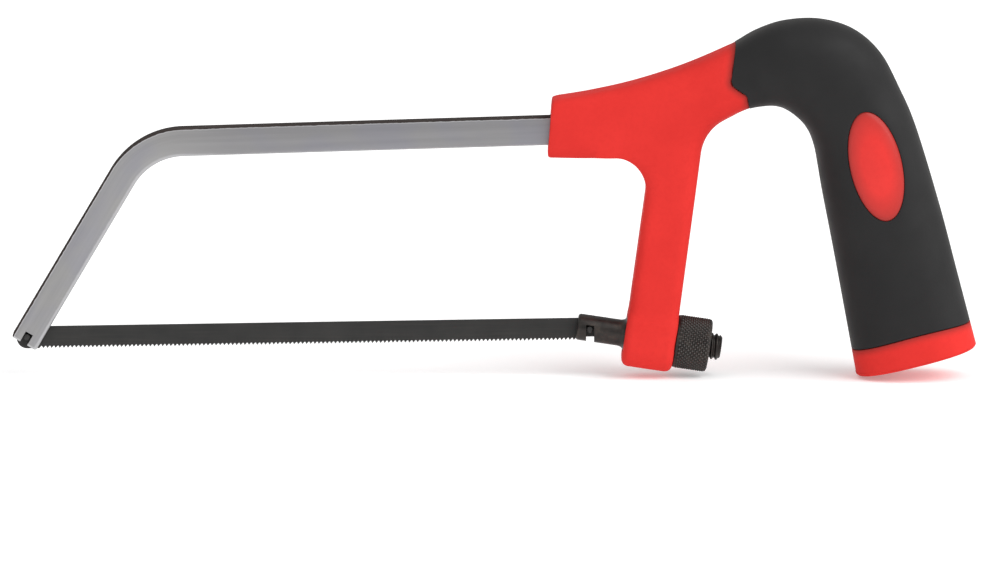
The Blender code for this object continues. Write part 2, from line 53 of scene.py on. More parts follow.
SEAM = 0.0002  # visible gap between two mouldings
OVERSHOOT = 0.004  # how far a cutter runs past what it cuts
FAR_SIDE = 0.03  # beyond the saw's sides

# Blade, measured from its rear pin
REAR_PIN = Vector(JOINTS["blade_unhook"]["pos_m"])
PIN_SPACING = 0.1449
BLADE_LENGTH = 0.1504
BLADE_HALF_THICKNESS = 0.000325
BLADE_BACK = 0.0025
BLADE_TIPS = 0.0032
BLADE_PLAIN = 0.0024  # lower edge of the plain rear end
TOOTH_DEPTH = 0.0006
TOOTH_PITCH = 0.00106
# One tooth: (share of the pitch, share of the gullet's depth)
TOOTH_OUTLINE = ((0, 0), (0.10, 0.10), (0.38, 0.66), (0.55, 0.95), (0.66, 1), (0.76, 0.86), (0.90, 0.32))
PLAIN_ENDS = 0.0057
SET_WIDTH = 0.00011  # how far the wavy set leans the teeth to each side
SET_WAVE = 7.0  # teeth in one wave of the set
SET_HEIGHT = 0.0011
SET_ENDS = 0.006  # distance from each pin to where the set starts
SET_FADE = 0.002
BLADE_CHAMFER = 0.00008
BLADE_EDGE = 0.0002  # height of the chamfer
BLADE_END_ROUNDING = 0.95  # radius of the ends, as a share of half the depth
BLADE_TILT = math.radians(0.8)
BLADE_SKEW = math.radians(0.10)  # how much more the strip climbs than the line through its pins
PIN_RADIUS = 0.0009
PIN_HALF_LENGTH = 0.0023
PIN_DOME = 0.00025
PIN_DOME_POWER = 0.4  # under 1 gives a flatter dome with a tighter edge

# Steel bar
BAR_HALF_DEPTH = 0.0035
BAR_INNER_DEPTH = 0.0037  # from the centre line to the inner face
BAR_HALF_THICKNESS = 0.0031
BAR_OUTER_ROUND = 0.00035
BAR_INNER_ROUND = 0.0008
BAR_LEAST_ROUND = 0.00005
BAR_END_ROUND = 0.0006
BAND = 0.005  # unit of width for the bar's painted edge highlights and its painted dark outer face
FRONT_SLOPE = math.radians(59.3)
ARM_SLOPE = math.radians(1.76)
ARM_HEIGHT = 0.06315
BEND_RADIUS = 0.0188
SLIT_HALF_WIDTH = 0.0005
FRONT_SLIT_DEPTH = 0.0080
FRONT_NOTCH_HALF_WIDTH = 0.00105
FRONT_NOTCH_DEPTH = 0.0031
FRONT_PIN_DEPTH = 0.0018
TANG_END = 0.0490

# Bolt and nut, along their axis from the rear pin
BOLT_AXIS = Vector(JOINTS["nut_spin"]["axis"]).normalized()
BOLT_TILT = math.atan2(-BOLT_AXIS.z, BOLT_AXIS.x)
ROD_RADIUS = 0.0034
ROD_FRONT = -0.0033
ROD_ROUND = 0.0007
FORK_SLIT_END = 0.0042
REAR_NOTCH = (-0.00095, 0.00115)  # its upright walls, level with the pin
REAR_NOTCH_ABOVE = 0.0012
FLARE_START = 0.0074
SHANK_START = 0.0092
SHANK_HALF = 0.0043
SHANK_SQUARENESS = 7.0
SHANK_END = 0.0180
SHANK_STEP = 0.0002  # length of the slope from the shank down to the thread's root
THREAD_RADIUS = 0.0034
THREAD_ROOT = 0.0029
THREAD_PITCH = 0.0012
THREAD_END = 0.0342
THREAD_CHAMFER = 0.0008
THREAD_END_RIM = 0.0003
THREAD_FLAT = 0.12  # width of the flat at the root, as a share of the pitch
THREAD_FLANKS = 0.70  # width of both flanks, as a share of the pitch
NUT_RADIUS = 0.0069
NUT_START = 0.0223
NUT_LENGTH = 0.0089
NUT_BORE = 0.0036
NUT_LIP = 0.0004  # rounding of the bore's ends
NUT_FRONT_ROUND = 0.0003
NUT_PLAIN_FRONT = 0.0006  # smooth strip in front of the knurl
NUT_ROUND = 0.0010
KNURL_LINES = 38
KNURL_DEPTH = 0.00042
NUT_PLAIN_RADIUS = NUT_RADIUS - KNURL_DEPTH / 3  # of the smooth strip
KNURL_LEAN = math.radians(45)
CREST_WIDTH = 1.15  # over 1 leaves the crests flat
CREST_POWER = 0.8
KNURL_FADE = 0.0003  # how far the knurl takes to reach its depth
KNURL_ROW = 0.00011  # distance between the nut's rings

# Moulded handle
LEG_CENTRE = 0.0158
LEG_HALF_WIDTH = 0.0065
LEG_LEAN = math.radians(7.8)
LEG_BELOW_AXIS = 0.0030
LEG_HALF_THICKNESS = 0.0067
LEG_TOP_HALF_THICKNESS = 0.00735
LEG_WIDENS = (0.044, 0.060)
LEG_CORNER = 0.0024
LEG_TOP = 0.0693
LEG_NOSE = 0.0030  # how much rounder its rear corners get as it meets the arm
FRONT_FILLET = 0.0084
REAR_FILLET = 0.0112
FRONT_WEB_CORNER = 0.0566
REAR_WEB_CORNER = 0.0636
REAR_EDGE_IN = 0.0003  # how much narrower the leg is behind at its top
FRONT_WEB_END = (0.0240, 0.0572)
REAR_WEB_END = (0.0647, 0.0694)
BOSS_HALF_HEIGHT = 0.0080
BOSS_HALF_THICKNESS = 0.0075
BOSS_SQUARENESS = 3.6
BOSS_HALF_LENGTH = 0.0066
BOSS_FORWARD = 0.0001  # how far its middle is in front of the leg's
BOSS_EDGE = 0.0018
SOCKET_LIP = 0.0006
SOCKET_GAP = 0.0002
# Heights over which the leg's sides are evened out where they meet the arm and the foot: from, and up to
ARM_JOINT = ((0.040, 0.050), (0.066, 0.072))
FOOT_JOINT = ((0.0115, 0.0135), (0.020, 0.026))
SIDE_FACING = (0.35, 0.75)  # how far sideways a surface looks where that starts and is full
BLEND_VOXEL = 0.00036
BLEND_ROUNDS = 6
SLEEVE_THICKNESS = 0.0026
SLEEVE_EDGE_DEPTH = 0.8 * SLEEVE_THICKNESS
GRIP_SIDES = 176  # points round the sleeve and the cap
CAP_RIM = 0.0011

# Ribs across the arm and grip: upper point x and z, lower point x and z, half thickness in y, and squareness
RIBS = np.array((
    (0.01465, 0.07195, 0.01345, 0.05680, 0.0074, 5.0),
    (0.02400, 0.07345, 0.02400, 0.05660, 0.0075, 5.0),
    (0.03560, 0.07610, 0.03500, 0.05700, 0.0077, 4.6),
    (0.04820, 0.08020, 0.05000, 0.06200, 0.0082, 4.0),
    (0.06000, 0.08530, 0.06250, 0.06830, 0.0094, 3.3),
    (0.06700, 0.08930, 0.06900, 0.06990, 0.0106, 2.8),
    (0.07440, 0.09180, 0.07360, 0.06950, 0.0116, 2.5),
    (0.08350, 0.09220, 0.07780, 0.06675, 0.0121, 2.4),
    (0.09210, 0.08955, 0.08040, 0.06350, 0.0123, 2.4),
    (0.09890, 0.08360, 0.08195, 0.05940, 0.0124, 2.4),
    (0.10380, 0.07460, 0.08292, 0.05440, 0.0125, 2.4),
    (0.10820, 0.06430, 0.08412, 0.04750, 0.0125, 2.4),
    (0.11430, 0.04440, 0.08678, 0.03400, 0.0125, 2.4),
    (0.11920, 0.02600, 0.09000, 0.01690, 0.0124, 2.4),
    (0.12410, 0.00750, 0.09320, -0.00030, 0.0122, 2.4),
))
LAST_RIB = len(RIBS) - 1

# Places along the handle, counted in ribs
RED_SKIN = (0.25, 6.4)
RED_CORE = (3.3, 6.6)
SLEEVE_STARTS_BETWEEN = (3.4, 7.5)
CAP_STARTS_BETWEEN = (11.5, 13.95)
CAP_RIM_START = LAST_RIB - 0.065
SEARCH_STEPS = 500
EDGE_STEP = 0.01

# Where the soft sleeve starts on the arm, from top to bottom
SLEEVE_FRONT = ((0.0630, 0.0970), (0.0604, 0.0763), (0.0646, 0.0734), (0.0660, 0.0660))
SLEEVE_FRONT_ROUND = 0.0014
SLEEVE_EDGE_ROUND = 0.0002
RED_DIP = 0.0001  # how far the red surface sinks towards the sleeve's edge, all round
RED_SIDE_DIP = 0.00025  # how much further it sinks on the sides
RED_DIP_WIDTH = 0.0028
RED_BEHIND = 0.0007  # how far the red runs on under the sleeve
RED_DIVE = 0.0005  # how deep it goes there
BLUSH_WIDTH = 0.0026  # how wide the painted shade strip beside a joint is
CAP_FRONT = (0.0921, 0.0069)
CAP_REAR = (0.1223, 0.0142)
CAP_ARCH = 0.0008
CAP_ARCH_SKEW = 1.3

BADGE_CENTRE = (0.0976, 0.0556)
BADGE_HALF_LENGTH = 0.0144
BADGE_HALF_WIDTH = 0.0067
BADGE_LEAN = math.radians(13)
BADGE_PROUD = 0.0005
BADGE_EDGE_ROUND = 0.0010
BADGE_EDGE_DROP = 0.55  # how far its edge rolls in, as a share of a full quarter circle
WINDOW_FLOOR = 0.0092
WINDOW_CUT_END = 0.02  # beyond the sleeve's side
WINDOW_DIP = 0.00028
WINDOW_DIP_WIDTH = 0.0007
WINDOW_SIDE = (0.004, 0.008)  # distances from the middle where the dip starts and is full


# ---------------------------------------------------------------- mesh helpers


def smoothstep(low, high, value):
    t = np.clip((value - low) / (high - low), 0.0, 1.0)
    return t * t * (3 - 2 * t)


def between(rise, fall, value):
    """1 between two places, with a smooth step up over one and down over the other."""
    return smoothstep(*rise, value) * (1 - smoothstep(*fall, value))


def unit(vectors):
    return vectors / np.linalg.norm(vectors, axis=-1, keepdims=True)


def mesh_object(name, points, faces, sharp_over=38):
    """A shaded object from points and faces that close on themselves, with all faces turned outwards."""
    mesh = bpy.data.meshes.new(name)
    mesh.from_pydata(np.asarray(points).tolist(), [], faces)
    bm = bmesh.new()
    bm.from_mesh(mesh)
    bmesh.ops.recalc_face_normals(bm, faces=bm.faces)
    bm.to_mesh(mesh)
    bm.free()
    shade(mesh, sharp_over)
    obj = bpy.data.objects.new(name, mesh)
    bpy.context.scene.collection.objects.link(obj)
    return obj


def shade(mesh, sharp_over=38):
    mesh.shade_smooth()
    mesh.set_sharp_from_angle(angle=math.radians(sharp_over))


def bands(rings, closed):
    """The rings' points, and faces from each ring to the next, or round to the first again if closed."""
    rings = np.asarray(rings, float)
    count, sides = rings.shape[:2]
    around = np.arange(sides)
    following = (around + 1) % sides
    faces = []
    for row in range(count if closed else count - 1):
        first = row * sides
        second = (row + 1) % count * sides
        corners = (first + around, first + following, second + following, second + around)
        faces.extend(np.stack(corners, 1).tolist())
    return rings.reshape(-1, 3), faces


def skin(rings):
    """Points and faces through rings of equally many points, with a flat face at each end."""
    points, faces = bands(rings, False)
    sides = len(rings[0])
    faces.append(list(range(sides))[::-1])
    faces.append(list(range(len(points) - sides, len(points))))
    return points, faces


def prism(outline, low_y, high_y):
    """Points and faces of an outline in the side view, extruded along Y."""
    rings = [[(x, y, z) for x, z in outline] for y in (low_y, high_y)]
    return skin(rings)


def full_turn(sides):
    return math.tau * np.arange(sides) / sides


def ring_at(x, y, z):
    """A ring of points square to the local X axis."""
    return np.stack((np.full(len(y), x), y, z), 1)


def round_ring(x, radius, angle):
    return ring_at(x, radius * np.cos(angle), radius * np.sin(angle))


def turned(profile, sides):
    """Rings about the local X axis, from a profile of (x, radius)."""
    return np.array([round_ring(x, radius, full_turn(sides)) for x, radius in profile])


def corner_arc(centre, radius, start, end, steps):
    """Points of an arc from one angle to another, in radians."""
    angle = np.linspace(start, end, steps + 1)
    return [(centre[0] + radius * math.cos(a), centre[1] + radius * math.sin(a)) for a in angle]


def rounded_section(corners, steps):
    """Points round a section with four round corners: each is given as its centre and radius."""
    quarter = math.pi / 2
    section = []
    for turns, (centre, radius) in enumerate(corners):
        section.extend(corner_arc(centre, radius, turns * quarter, (turns + 1) * quarter, steps))
    return section


def rounded_path(corners, step=math.radians(6)):
    """A line in the side view through corners of (x, z, radius), with an arc at each round one."""
    points = []
    for i, (x, z, radius) in enumerate(corners):
        corner = Vector((x, z))
        if not radius:
            points.append((x, z))
            continue
        before = (Vector(corners[i - 1][:2]) - corner).normalized()
        after = (Vector(corners[i + 1][:2]) - corner).normalized()
        half = before.angle(after) / 2
        centre = corner + (before + after).normalized() * radius / math.sin(half)
        start = corner + before * radius / math.tan(half) - centre
        end = corner + after * radius / math.tan(half) - centre
        turn = start.angle(end)
        count = max(2, round(turn / step))
        for k in range(count + 1):
            t = turn * k / count
            spot = centre + (start * math.sin(turn - t) + end * math.sin(t)) / math.sin(turn)
            points.append((spot.x, spot.y))
    return points


def boolean(obj, operation, points_and_faces, matrix=None):
    """Adds to or cuts from an object at once, by a shape made for the purpose."""
    other = mesh_object("cutter", *points_and_faces)
    if matrix:
        other.data.transform(matrix)
    modifier = obj.modifiers.new(operation, "BOOLEAN")
    modifier.operation = operation
    modifier.solver = "MANIFOLD"
    modifier.object = other
    apply_modifiers(obj)
    bpy.data.objects.remove(other, do_unlink=True)


def apply_modifiers(obj):
    graph = bpy.context.evaluated_depsgraph_get()
    mesh = bpy.data.meshes.new_from_object(obj.evaluated_get(graph))
    obj.modifiers.clear()
    obj.data = mesh
    shade(mesh)


def read_vectors(items, name):
    values = np.empty(len(items) * 3)
    items.foreach_get(name, values)
    return values.reshape(-1, 3)


def get_points(mesh):
    return read_vectors(mesh.vertices, "co")


def set_points(mesh, points):
    mesh.vertices.foreach_set("co", points.ravel())
    mesh.update()


def relax(mesh, values, strength, rounds):
    """Values at the vertices, after some rounds that move each towards its neighbours' mean."""
    edges = np.empty(len(mesh.edges) * 2, np.int32)
    mesh.edges.foreach_get("vertices", edges)
    first, second = edges.reshape(-1, 2).T
    count = len(mesh.vertices)
    neighbours = np.bincount(first, minlength=count) + np.bincount(second, minlength=count)
    for _ in range(rounds):
        total = np.bincount(first, values[second], count) + np.bincount(second, values[first], count)
        values = values + strength * (total / neighbours - values)
    return values


def add_values(obj, name, values):
    """Stores a value at each vertex, for the material to use."""
    obj.data.attributes.new(name, "FLOAT", "POINT").data.foreach_set("value", values)


def finish_piece(obj, body, nodes, material):
    """The calls and the material that every piece needs."""
    obj.data.materials.clear()
    obj.data.materials.append(material)
    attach(obj, body)
    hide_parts(*nodes)
    return obj


# ---------------------------------------------------------------- places


BLADE_DIRECTION = Vector((math.cos(BLADE_TILT), 0, math.sin(BLADE_TILT)))
FRONT_PIN = REAR_PIN - PIN_SPACING * BLADE_DIRECTION
FRONT_DIRECTION = Vector((math.cos(FRONT_SLOPE), 0, math.sin(FRONT_SLOPE)))
FRONT_SQUARE = Vector((-FRONT_DIRECTION.z, 0, FRONT_DIRECTION.x))
BAR_END = FRONT_PIN - FRONT_PIN_DEPTH * FRONT_DIRECTION
ABOVE_BOLT = Vector((math.sin(BOLT_TILT), 0, math.cos(BOLT_TILT)))
BOLT_FRAME = Matrix.Translation(REAR_PIN) @ Matrix.Rotation(BOLT_TILT, 4, "Y")
BLADE_FRAME = (
    Matrix.Translation(FRONT_PIN)
    @ Matrix.Rotation(-BLADE_TILT - BLADE_SKEW, 4, "Y")
    @ Matrix.Translation((PIN_SPACING, 0, 0))
)


def arm_point(x, above=0.0):
    return Vector((x, 0, ARM_HEIGHT + x * math.tan(ARM_SLOPE) + above / math.cos(ARM_SLOPE)))


def bolt_point(along, above=0.0):
    return REAR_PIN + along * BOLT_AXIS + above * ABOVE_BOLT


def leg_point(along, height):
    """The point at this height on a line parallel to the leg, which crosses the bolt's axis at along."""
    start = bolt_point(along)
    return start + Vector((math.tan(LEG_LEAN), 0, 1)) * (height - start.z)


# ---------------------------------------------------------------- the handle's lofted shape


def ribs_at(u):
    """The ribs at these places along the handle, on Catmull-Rom curves through the table."""
    i = np.clip(u.astype(int), 0, LAST_RIB - 1)
    t = (u - i)[..., None]
    a, b, c, d = (RIBS[np.clip(i + k, 0, LAST_RIB)] for k in (-1, 0, 1, 2))
    return b + 0.5 * t * (c - a + t * (2 * a - 5 * b + 4 * c - d + t * (3 * (b - c) + d - a)))


def squared_circle(angle, squareness):
    """Points on a circle that is drawn out towards its square: 2 leaves it round."""
    side, up = np.cos(angle), np.sin(angle)
    power = 2 / squareness
    return np.copysign(np.abs(side) ** power, side), np.copysign(np.abs(up) ** power, up)


def squared_ring(x, half, squareness, angles):
    side, up = squared_circle(angles, squareness)
    return ring_at(x, side * half, up * half)


def handle_points(u, angle, inset=0.0, shift=0.0):
    """Points of the handle's outer shape, shrunk by inset and moved on by shift."""
    u, angle, inset, shift = np.broadcast_arrays(u, angle, inset, shift)
    rib = ribs_at(np.asarray(u, float))
    top, low = rib[..., 0:2], rib[..., 2:4]
    length = np.linalg.norm(top - low, axis=-1)
    across_x, across_z = ((top - low) / length[..., None]).T
    across_x, across_z = across_x.T, across_z.T
    side, up = squared_circle(angle, rib[..., 5])
    reach = up * (length / 2 - inset)
    x = (top[..., 0] + low[..., 0]) / 2 + across_z * shift + across_x * reach
    z = (top[..., 1] + low[..., 1]) / 2 - across_x * shift + across_z * reach
    return np.stack((x, side * (rib[..., 4] - inset), z), -1)


def ring_angles(sides):
    return math.tau * (np.arange(sides) + 0.5) / sides


def handle_rings(start, end, count, sides, inset=0.0):
    angles = ring_angles(sides)
    return [handle_points(u, angles, inset) for u in np.linspace(start, end, count)]


SLEEVE_LINE = np.array(rounded_path([
    (*SLEEVE_FRONT[0], 0),
    (*SLEEVE_FRONT[1], SLEEVE_FRONT_ROUND),
    (*SLEEVE_FRONT[2], SLEEVE_FRONT_ROUND),
    (*SLEEVE_FRONT[3], 0),
]))


def behind_sleeve_line(points):
    """How far each point is behind the line where the sleeve starts, in the side view: negative in front."""
    spots = points[..., None, (0, 2)]
    starts = SLEEVE_LINE[:-1]
    steps = SLEEVE_LINE[1:] - starts
    t = np.clip(((spots - starts) * steps).sum(-1) / (steps**2).sum(-1), 0, 1)
    away = spots - (starts + t[..., None] * steps)
    distance = np.linalg.norm(away, axis=-1)
    nearest = distance.argmin(-1)
    away = np.take_along_axis(away, nearest[..., None, None], -2)[..., 0, :]
    step = steps[nearest]
    turn = step[..., 0] * away[..., 1] - step[..., 1] * away[..., 0]
    return np.copysign(distance.min(-1), turn)


def cap_joint_height(x):
    """Height of the joint of cap and sleeve at this x."""
    (x0, z0), (x1, z1) = CAP_FRONT, CAP_REAR
    t = (x - x0) / (x1 - x0)
    return z0 + t * (z1 - z0) + CAP_ARCH * np.sin(math.pi * np.clip(t, 0, 1) ** CAP_ARCH_SKEW)


def crossing(values, places):
    """For each column, the place where its values first change from negative to positive."""
    after = (values > 0).argmax(0)
    columns = np.arange(values.shape[1])
    low, high = values[after - 1, columns], values[after, columns]
    share = -low / (high - low)
    return places[after - 1] + share * (places[after] - places[after - 1])


def rolled_edge(edge, into, radius, depth, steps=4):
    """Rows that roll a surface over its edge and go down: from the deepest row out to the surface.

    edge is the ring along the edge, and into the ring a little inside the surface."""
    tangent = unit(into - edge)
    around = np.roll(edge, -1, 0) - np.roll(edge, 1, 0)
    normal = unit(np.cross(tangent, around))
    outward = edge - edge.mean(0)
    normal *= np.sign((normal * outward).sum(-1, keepdims=True))
    rows = [edge - normal * depth]
    for turn in np.linspace(math.pi / 2, 0, steps + 1):
        rows.append(edge + tangent * radius * (1 - math.sin(turn)) - normal * radius * (1 - math.cos(turn)))
    return rows


def badge_place(points):
    """How far out each point is in the side view, with the badge's outline at 1, and its distance to that."""
    across = points[..., 0] - BADGE_CENTRE[0]
    up = points[..., 2] - BADGE_CENTRE[1]
    long_way = -across * math.sin(BADGE_LEAN) + up * math.cos(BADGE_LEAN)
    short_way = across * math.cos(BADGE_LEAN) + up * math.sin(BADGE_LEAN)
    share = np.hypot(long_way / BADGE_HALF_LENGTH, short_way / BADGE_HALF_WIDTH)
    distance = np.hypot(long_way, short_way) * (1 - 1 / np.maximum(share, 0.1))
    return share, distance


def badge_outline(share, sides=120, grow=0.0):
    """Points in the side view on the badge's outline, or inside it at a smaller share."""
    outline = []
    for angle in full_turn(sides):
        long_way = share * math.cos(angle) * (BADGE_HALF_LENGTH + grow)
        short_way = share * math.sin(angle) * (BADGE_HALF_WIDTH + grow)
        outline.append((
            BADGE_CENTRE[0] - long_way * math.sin(BADGE_LEAN) + short_way * math.cos(BADGE_LEAN),
            BADGE_CENTRE[1] + long_way * math.cos(BADGE_LEAN) + short_way * math.sin(BADGE_LEAN),
        ))
    return outline


# ---------------------------------------------------------------- materials


class Look:
    """A material being built: its shader, and short ways to add and join nodes."""

    def __init__(self, name, sockets):
        self.material = bpy.data.materials.new(name)
        self.material.use_nodes = True
        self.tree = self.material.node_tree
        self.shader = self.tree.nodes["Principled BSDF"]
        for socket, value in sockets.items():
            self.shader.inputs[socket].default_value = value
        self.place = self.tree.nodes.new("ShaderNodeTexCoord").outputs["Object"]

    def join(self, output, socket):
        self.tree.links.new(output, socket)

    def attribute(self, name, output):
        node = self.tree.nodes.new("ShaderNodeAttribute")
        node.attribute_name = name
        return node.outputs[output]

    def parts(self, vector):
        """The three parts of a vector."""
        node = self.tree.nodes.new("ShaderNodeSeparateXYZ")
        self.join(vector, node.inputs["Vector"])
        return node.outputs

    def streaks(self, vector, scale, detail, roughness, rotation=(0, 0, 0)):
        """Noise with its own scale along each axis."""
        node = self.tree.nodes.new("ShaderNodeMapping")
        node.inputs["Scale"].default_value = scale
        node.inputs["Rotation"].default_value = rotation
        self.join(vector, node.inputs["Vector"])
        return self.noise(1.0, detail, roughness, node.outputs["Vector"])

    def noise(self, scale, detail=3.0, roughness=0.5, vector=None):
        node = self.tree.nodes.new("ShaderNodeTexNoise")
        node.inputs["Scale"].default_value = scale
        node.inputs["Detail"].default_value = detail
        node.inputs["Roughness"].default_value = roughness
        self.join(vector or self.place, node.inputs["Vector"])
        return node.outputs["Fac"]

    def ramp(self, factor, stops):
        """A colour or a grey that runs through stops of (position, value)."""
        node = self.tree.nodes.new("ShaderNodeValToRGB")
        elements = node.color_ramp.elements
        while len(elements) < len(stops):
            elements.new(0.5)
        for element, (position, value) in zip(elements, stops):
            element.position = position
            element.color = (*value, 1) if isinstance(value, tuple) else (value, value, value, 1)
        self.join(factor, node.inputs["Fac"])
        return node.outputs["Color"]

    def span(self, factor, low, high):
        """A ramp over the part of its range that noise mostly keeps to."""
        return self.ramp(factor, ((0.3, low), (0.7, high)))

    def math(self, operation, first, second):
        node = self.tree.nodes.new("ShaderNodeMath")
        node.operation = operation
        for socket, value in zip(node.inputs, (first, second)):
            if isinstance(value, (int, float)):
                socket.default_value = value
            else:
                self.join(value, socket)
        return node.outputs["Value"]

    def mix(self, factor, first, second, blend="MIX"):
        node = self.tree.nodes.new("ShaderNodeMix")
        node.data_type = "RGBA"
        node.blend_type = blend
        sockets = {"Factor": factor, "A": first, "B": second}
        for socket in node.inputs:
            if not socket.enabled or socket.name not in sockets:
                continue
            value = sockets[socket.name]
            if isinstance(value, bpy.types.NodeSocket):
                self.join(value, socket)
            else:
                socket.default_value = (*value, 1) if isinstance(value, tuple) else value
        return next(output for output in node.outputs if output.enabled)

    def bump(self, height, distance, strength=1.0, under=None):
        node = self.tree.nodes.new("ShaderNodeBump")
        node.inputs["Strength"].default_value = strength
        node.inputs["Distance"].default_value = distance
        self.join(height, node.inputs["Height"])
        if under:
            self.join(under, node.inputs["Normal"])
        return node.outputs["Normal"]

    def set(self, colour=None, roughness=None, normal=None):
        for output, socket in ((colour, "Base Color"), (roughness, "Roughness"), (normal, "Normal")):
            if output:
                self.join(output, self.shader.inputs[socket])
        return self.material


def red_plastic(name, roughness, coat, painted_shade_stops):
    """Satin moulded plastic: a slightly cloudy red, with a fine spark-eroded grain and soft flow marks.

    Its last argument holds ramp stops: how far painted shade darkens it as the attribute "joint" grows to 1
    at the piece's edge, standing in for the shade beside a joint."""
    look = Look(name, {"Specular IOR Level": 0.04, "Coat Weight": coat, "Coat Roughness": 0.25})
    clouds = look.noise(70, 2)
    flecks = look.noise(900, 4, 0.6)
    colour = look.mix(
        look.ramp(flecks, ((0.42, 0.0), (0.75, 0.35))),
        look.span(clouds, (0.615, 0.0305, 0.0260), (0.680, 0.0360, 0.0305)),
        (0.565, 0.0250, 0.0225),
    )
    # Painted shade: darker red towards each piece's joint, where the neighbouring edge would shade it
    colour = look.mix(look.ramp(look.attribute("joint", "Fac"), painted_shade_stops), colour, (0.30, 0.030, 0.026))
    rough = look.span(look.noise(260, 4), roughness - 0.05, roughness + 0.07)
    grain = look.bump(look.noise(5200, 2, 0.6), 0.00002, 0.35)
    flow = look.bump(look.noise(160, 2), 0.00012, 0.25, grain)
    return look.set(colour, rough, flow)


def black_rubber():
    """Matt soft-touch moulding, with a stipple, dull patches and a little dust."""
    look = Look("black soft moulding", {
        "Specular IOR Level": 0.20,
        "Sheen Weight": 0.04,
        "Sheen Roughness": 0.45,
        "Sheen Tint": (0.86, 0.80, 0.76, 1),
    })
    patches = look.noise(55, 3)
    dust = look.noise(2600, 5, 0.7)
    base = look.span(patches, (0.0130, 0.0129, 0.0133), (0.0164, 0.0162, 0.0165))
    colour = look.mix(look.ramp(dust, ((0.62, 0.0), (0.80, 0.30))), base, (0.032, 0.030, 0.029))
    rough = look.span(look.noise(140, 4), 0.58, 0.70)
    stipple = look.bump(look.noise(4200, 2, 0.55), 0.00004, 0.45)
    return look.set(colour, rough, stipple)


def nickel_steel():
    """Drawn and nickelled steel: grain along the bar, painted highlights along its edges, a painted dark
    reflection on its outer narrow face, and painted shade on the arm.
    """
    look = Look("drawn nickel steel", {"Specular IOR Level": 0.05})
    path = look.attribute("path", "Vector")
    along, outward, _ = look.parts(path)
    grain = look.streaks(path, (90, 5200, 5200), 5, 0.65)
    streaks = look.streaks(path, (26, 900, 900), 3, 0.5)
    patches = look.streaks(path, (75, 130, 130), 2, 0.5)
    silver = look.mix(
        look.ramp(patches, ((0.40, 0.0), (0.60, 1.0))),
        look.span(streaks, (0.273, 0.270, 0.292), (0.314, 0.311, 0.330)),
        look.span(streaks, (0.290, 0.286, 0.284), (0.332, 0.327, 0.324)),
    )
    silver = look.mix(look.ramp(grain, ((0.35, 0.0), (0.75, 0.25))), silver, (0.37, 0.37, 0.38))
    # Grows from 0 on the slope to 0.1 on the arm; below, it darkens the arm's silver as painted shade
    past_slope = look.ramp(look.math("MULTIPLY", along, 10), ((0.62, 0.0), (0.82, 0.10)))
    silver = look.mix(look.math("MULTIPLY", past_slope, 3), silver, (0.155, 0.155, 0.178))
    wander = look.math("MULTIPLY", look.math("SUBTRACT", look.noise(900, 4), 0.5), 0.06)
    # Depths below the two narrow faces and from the end, in units of BAND
    inner = look.math("DIVIDE", look.math("ADD", outward, BAR_INNER_DEPTH), BAND)
    inner = look.math("ADD", look.math("ADD", inner, wander), past_slope)
    outer = look.math("DIVIDE", look.math("SUBTRACT", BAR_HALF_DEPTH, outward), BAND)
    outer = look.math("ADD", look.math("ADD", outer, wander), look.math("MULTIPLY", past_slope, 0.3))
    end = look.math("DIVIDE", along, BAND)
    # Pale bands at the inner edge, at the end and beside the outer face are painted highlights, standing in
    # for the floor reflected in the rounded edges
    painted_edge_highlights = ((inner, 0.13, 0.20, 0.48), (end, 0.08, 0.13, 0.50), (outer, 0.08, 0.12, 0.60))
    for depth, full, gone, pale in painted_edge_highlights:
        silver = look.mix(look.ramp(depth, ((full, 0.7), (gone, 0.0))), silver, (pale, pale, pale + 0.01))
    # Painted dark reflection: the outer narrow face turns mottled brown, non-metallic and rough, standing in
    # for dark surroundings reflected in it
    dark = look.ramp(outer, ((0.060, 1.0), (0.080, 0.0)))
    scale = look.streaks(path, (120, 1500, 1500), 4, 0.6)
    brown = look.span(scale, (0.024, 0.020, 0.019), (0.060, 0.048, 0.044))
    rough = look.mix(dark, look.span(grain, 0.33, 0.46), (0.85, 0.85, 0.85))
    look.join(look.math("SUBTRACT", 1.0, dark), look.shader.inputs["Metallic"])
    normal = look.bump(grain, 0.000012, 0.5)
    normal = look.bump(look.noise(420, 3), 0.00003, 0.3, normal)
    return look.set(look.mix(dark, silver, brown), rough, normal)


def black_oxide(name, grain_scale, crests=None):
    """Oiled black oxide on turned steel: near black, brown where it thins, with fine machining marks.

    crests names an attribute that grows to 1 on the knurl's crests, which are painted lighter: partly a
    finish rubbed off by handling, partly a painted highlight."""
    look = Look(name, {"Metallic": 0.75})
    patches = look.noise(420, 4, 0.6)
    colour = look.ramp(patches, (
        (0.3, (0.023, 0.021, 0.020)),
        (0.55, (0.040, 0.035, 0.032)),
        (0.8, (0.082, 0.064, 0.053)),
    ))
    if crests:
        # Lighter knurl crests: partly a rubbed finish, partly a painted highlight on the crests
        crest_wear_and_highlight = look.ramp(look.attribute(crests, "Fac"), ((0.55, 0.0), (0.95, 0.8)))
        colour = look.mix(crest_wear_and_highlight, colour, (0.105, 0.098, 0.094))
    marks = look.streaks(look.place, grain_scale, 3, 0.6, (0, BOLT_TILT, 0))
    rough = look.span(patches, 0.30, 0.46)
    normal = look.bump(marks, 0.000012, 0.5)
    return look.set(colour, rough, look.bump(look.noise(2600, 3), 0.00002, 0.3, normal))


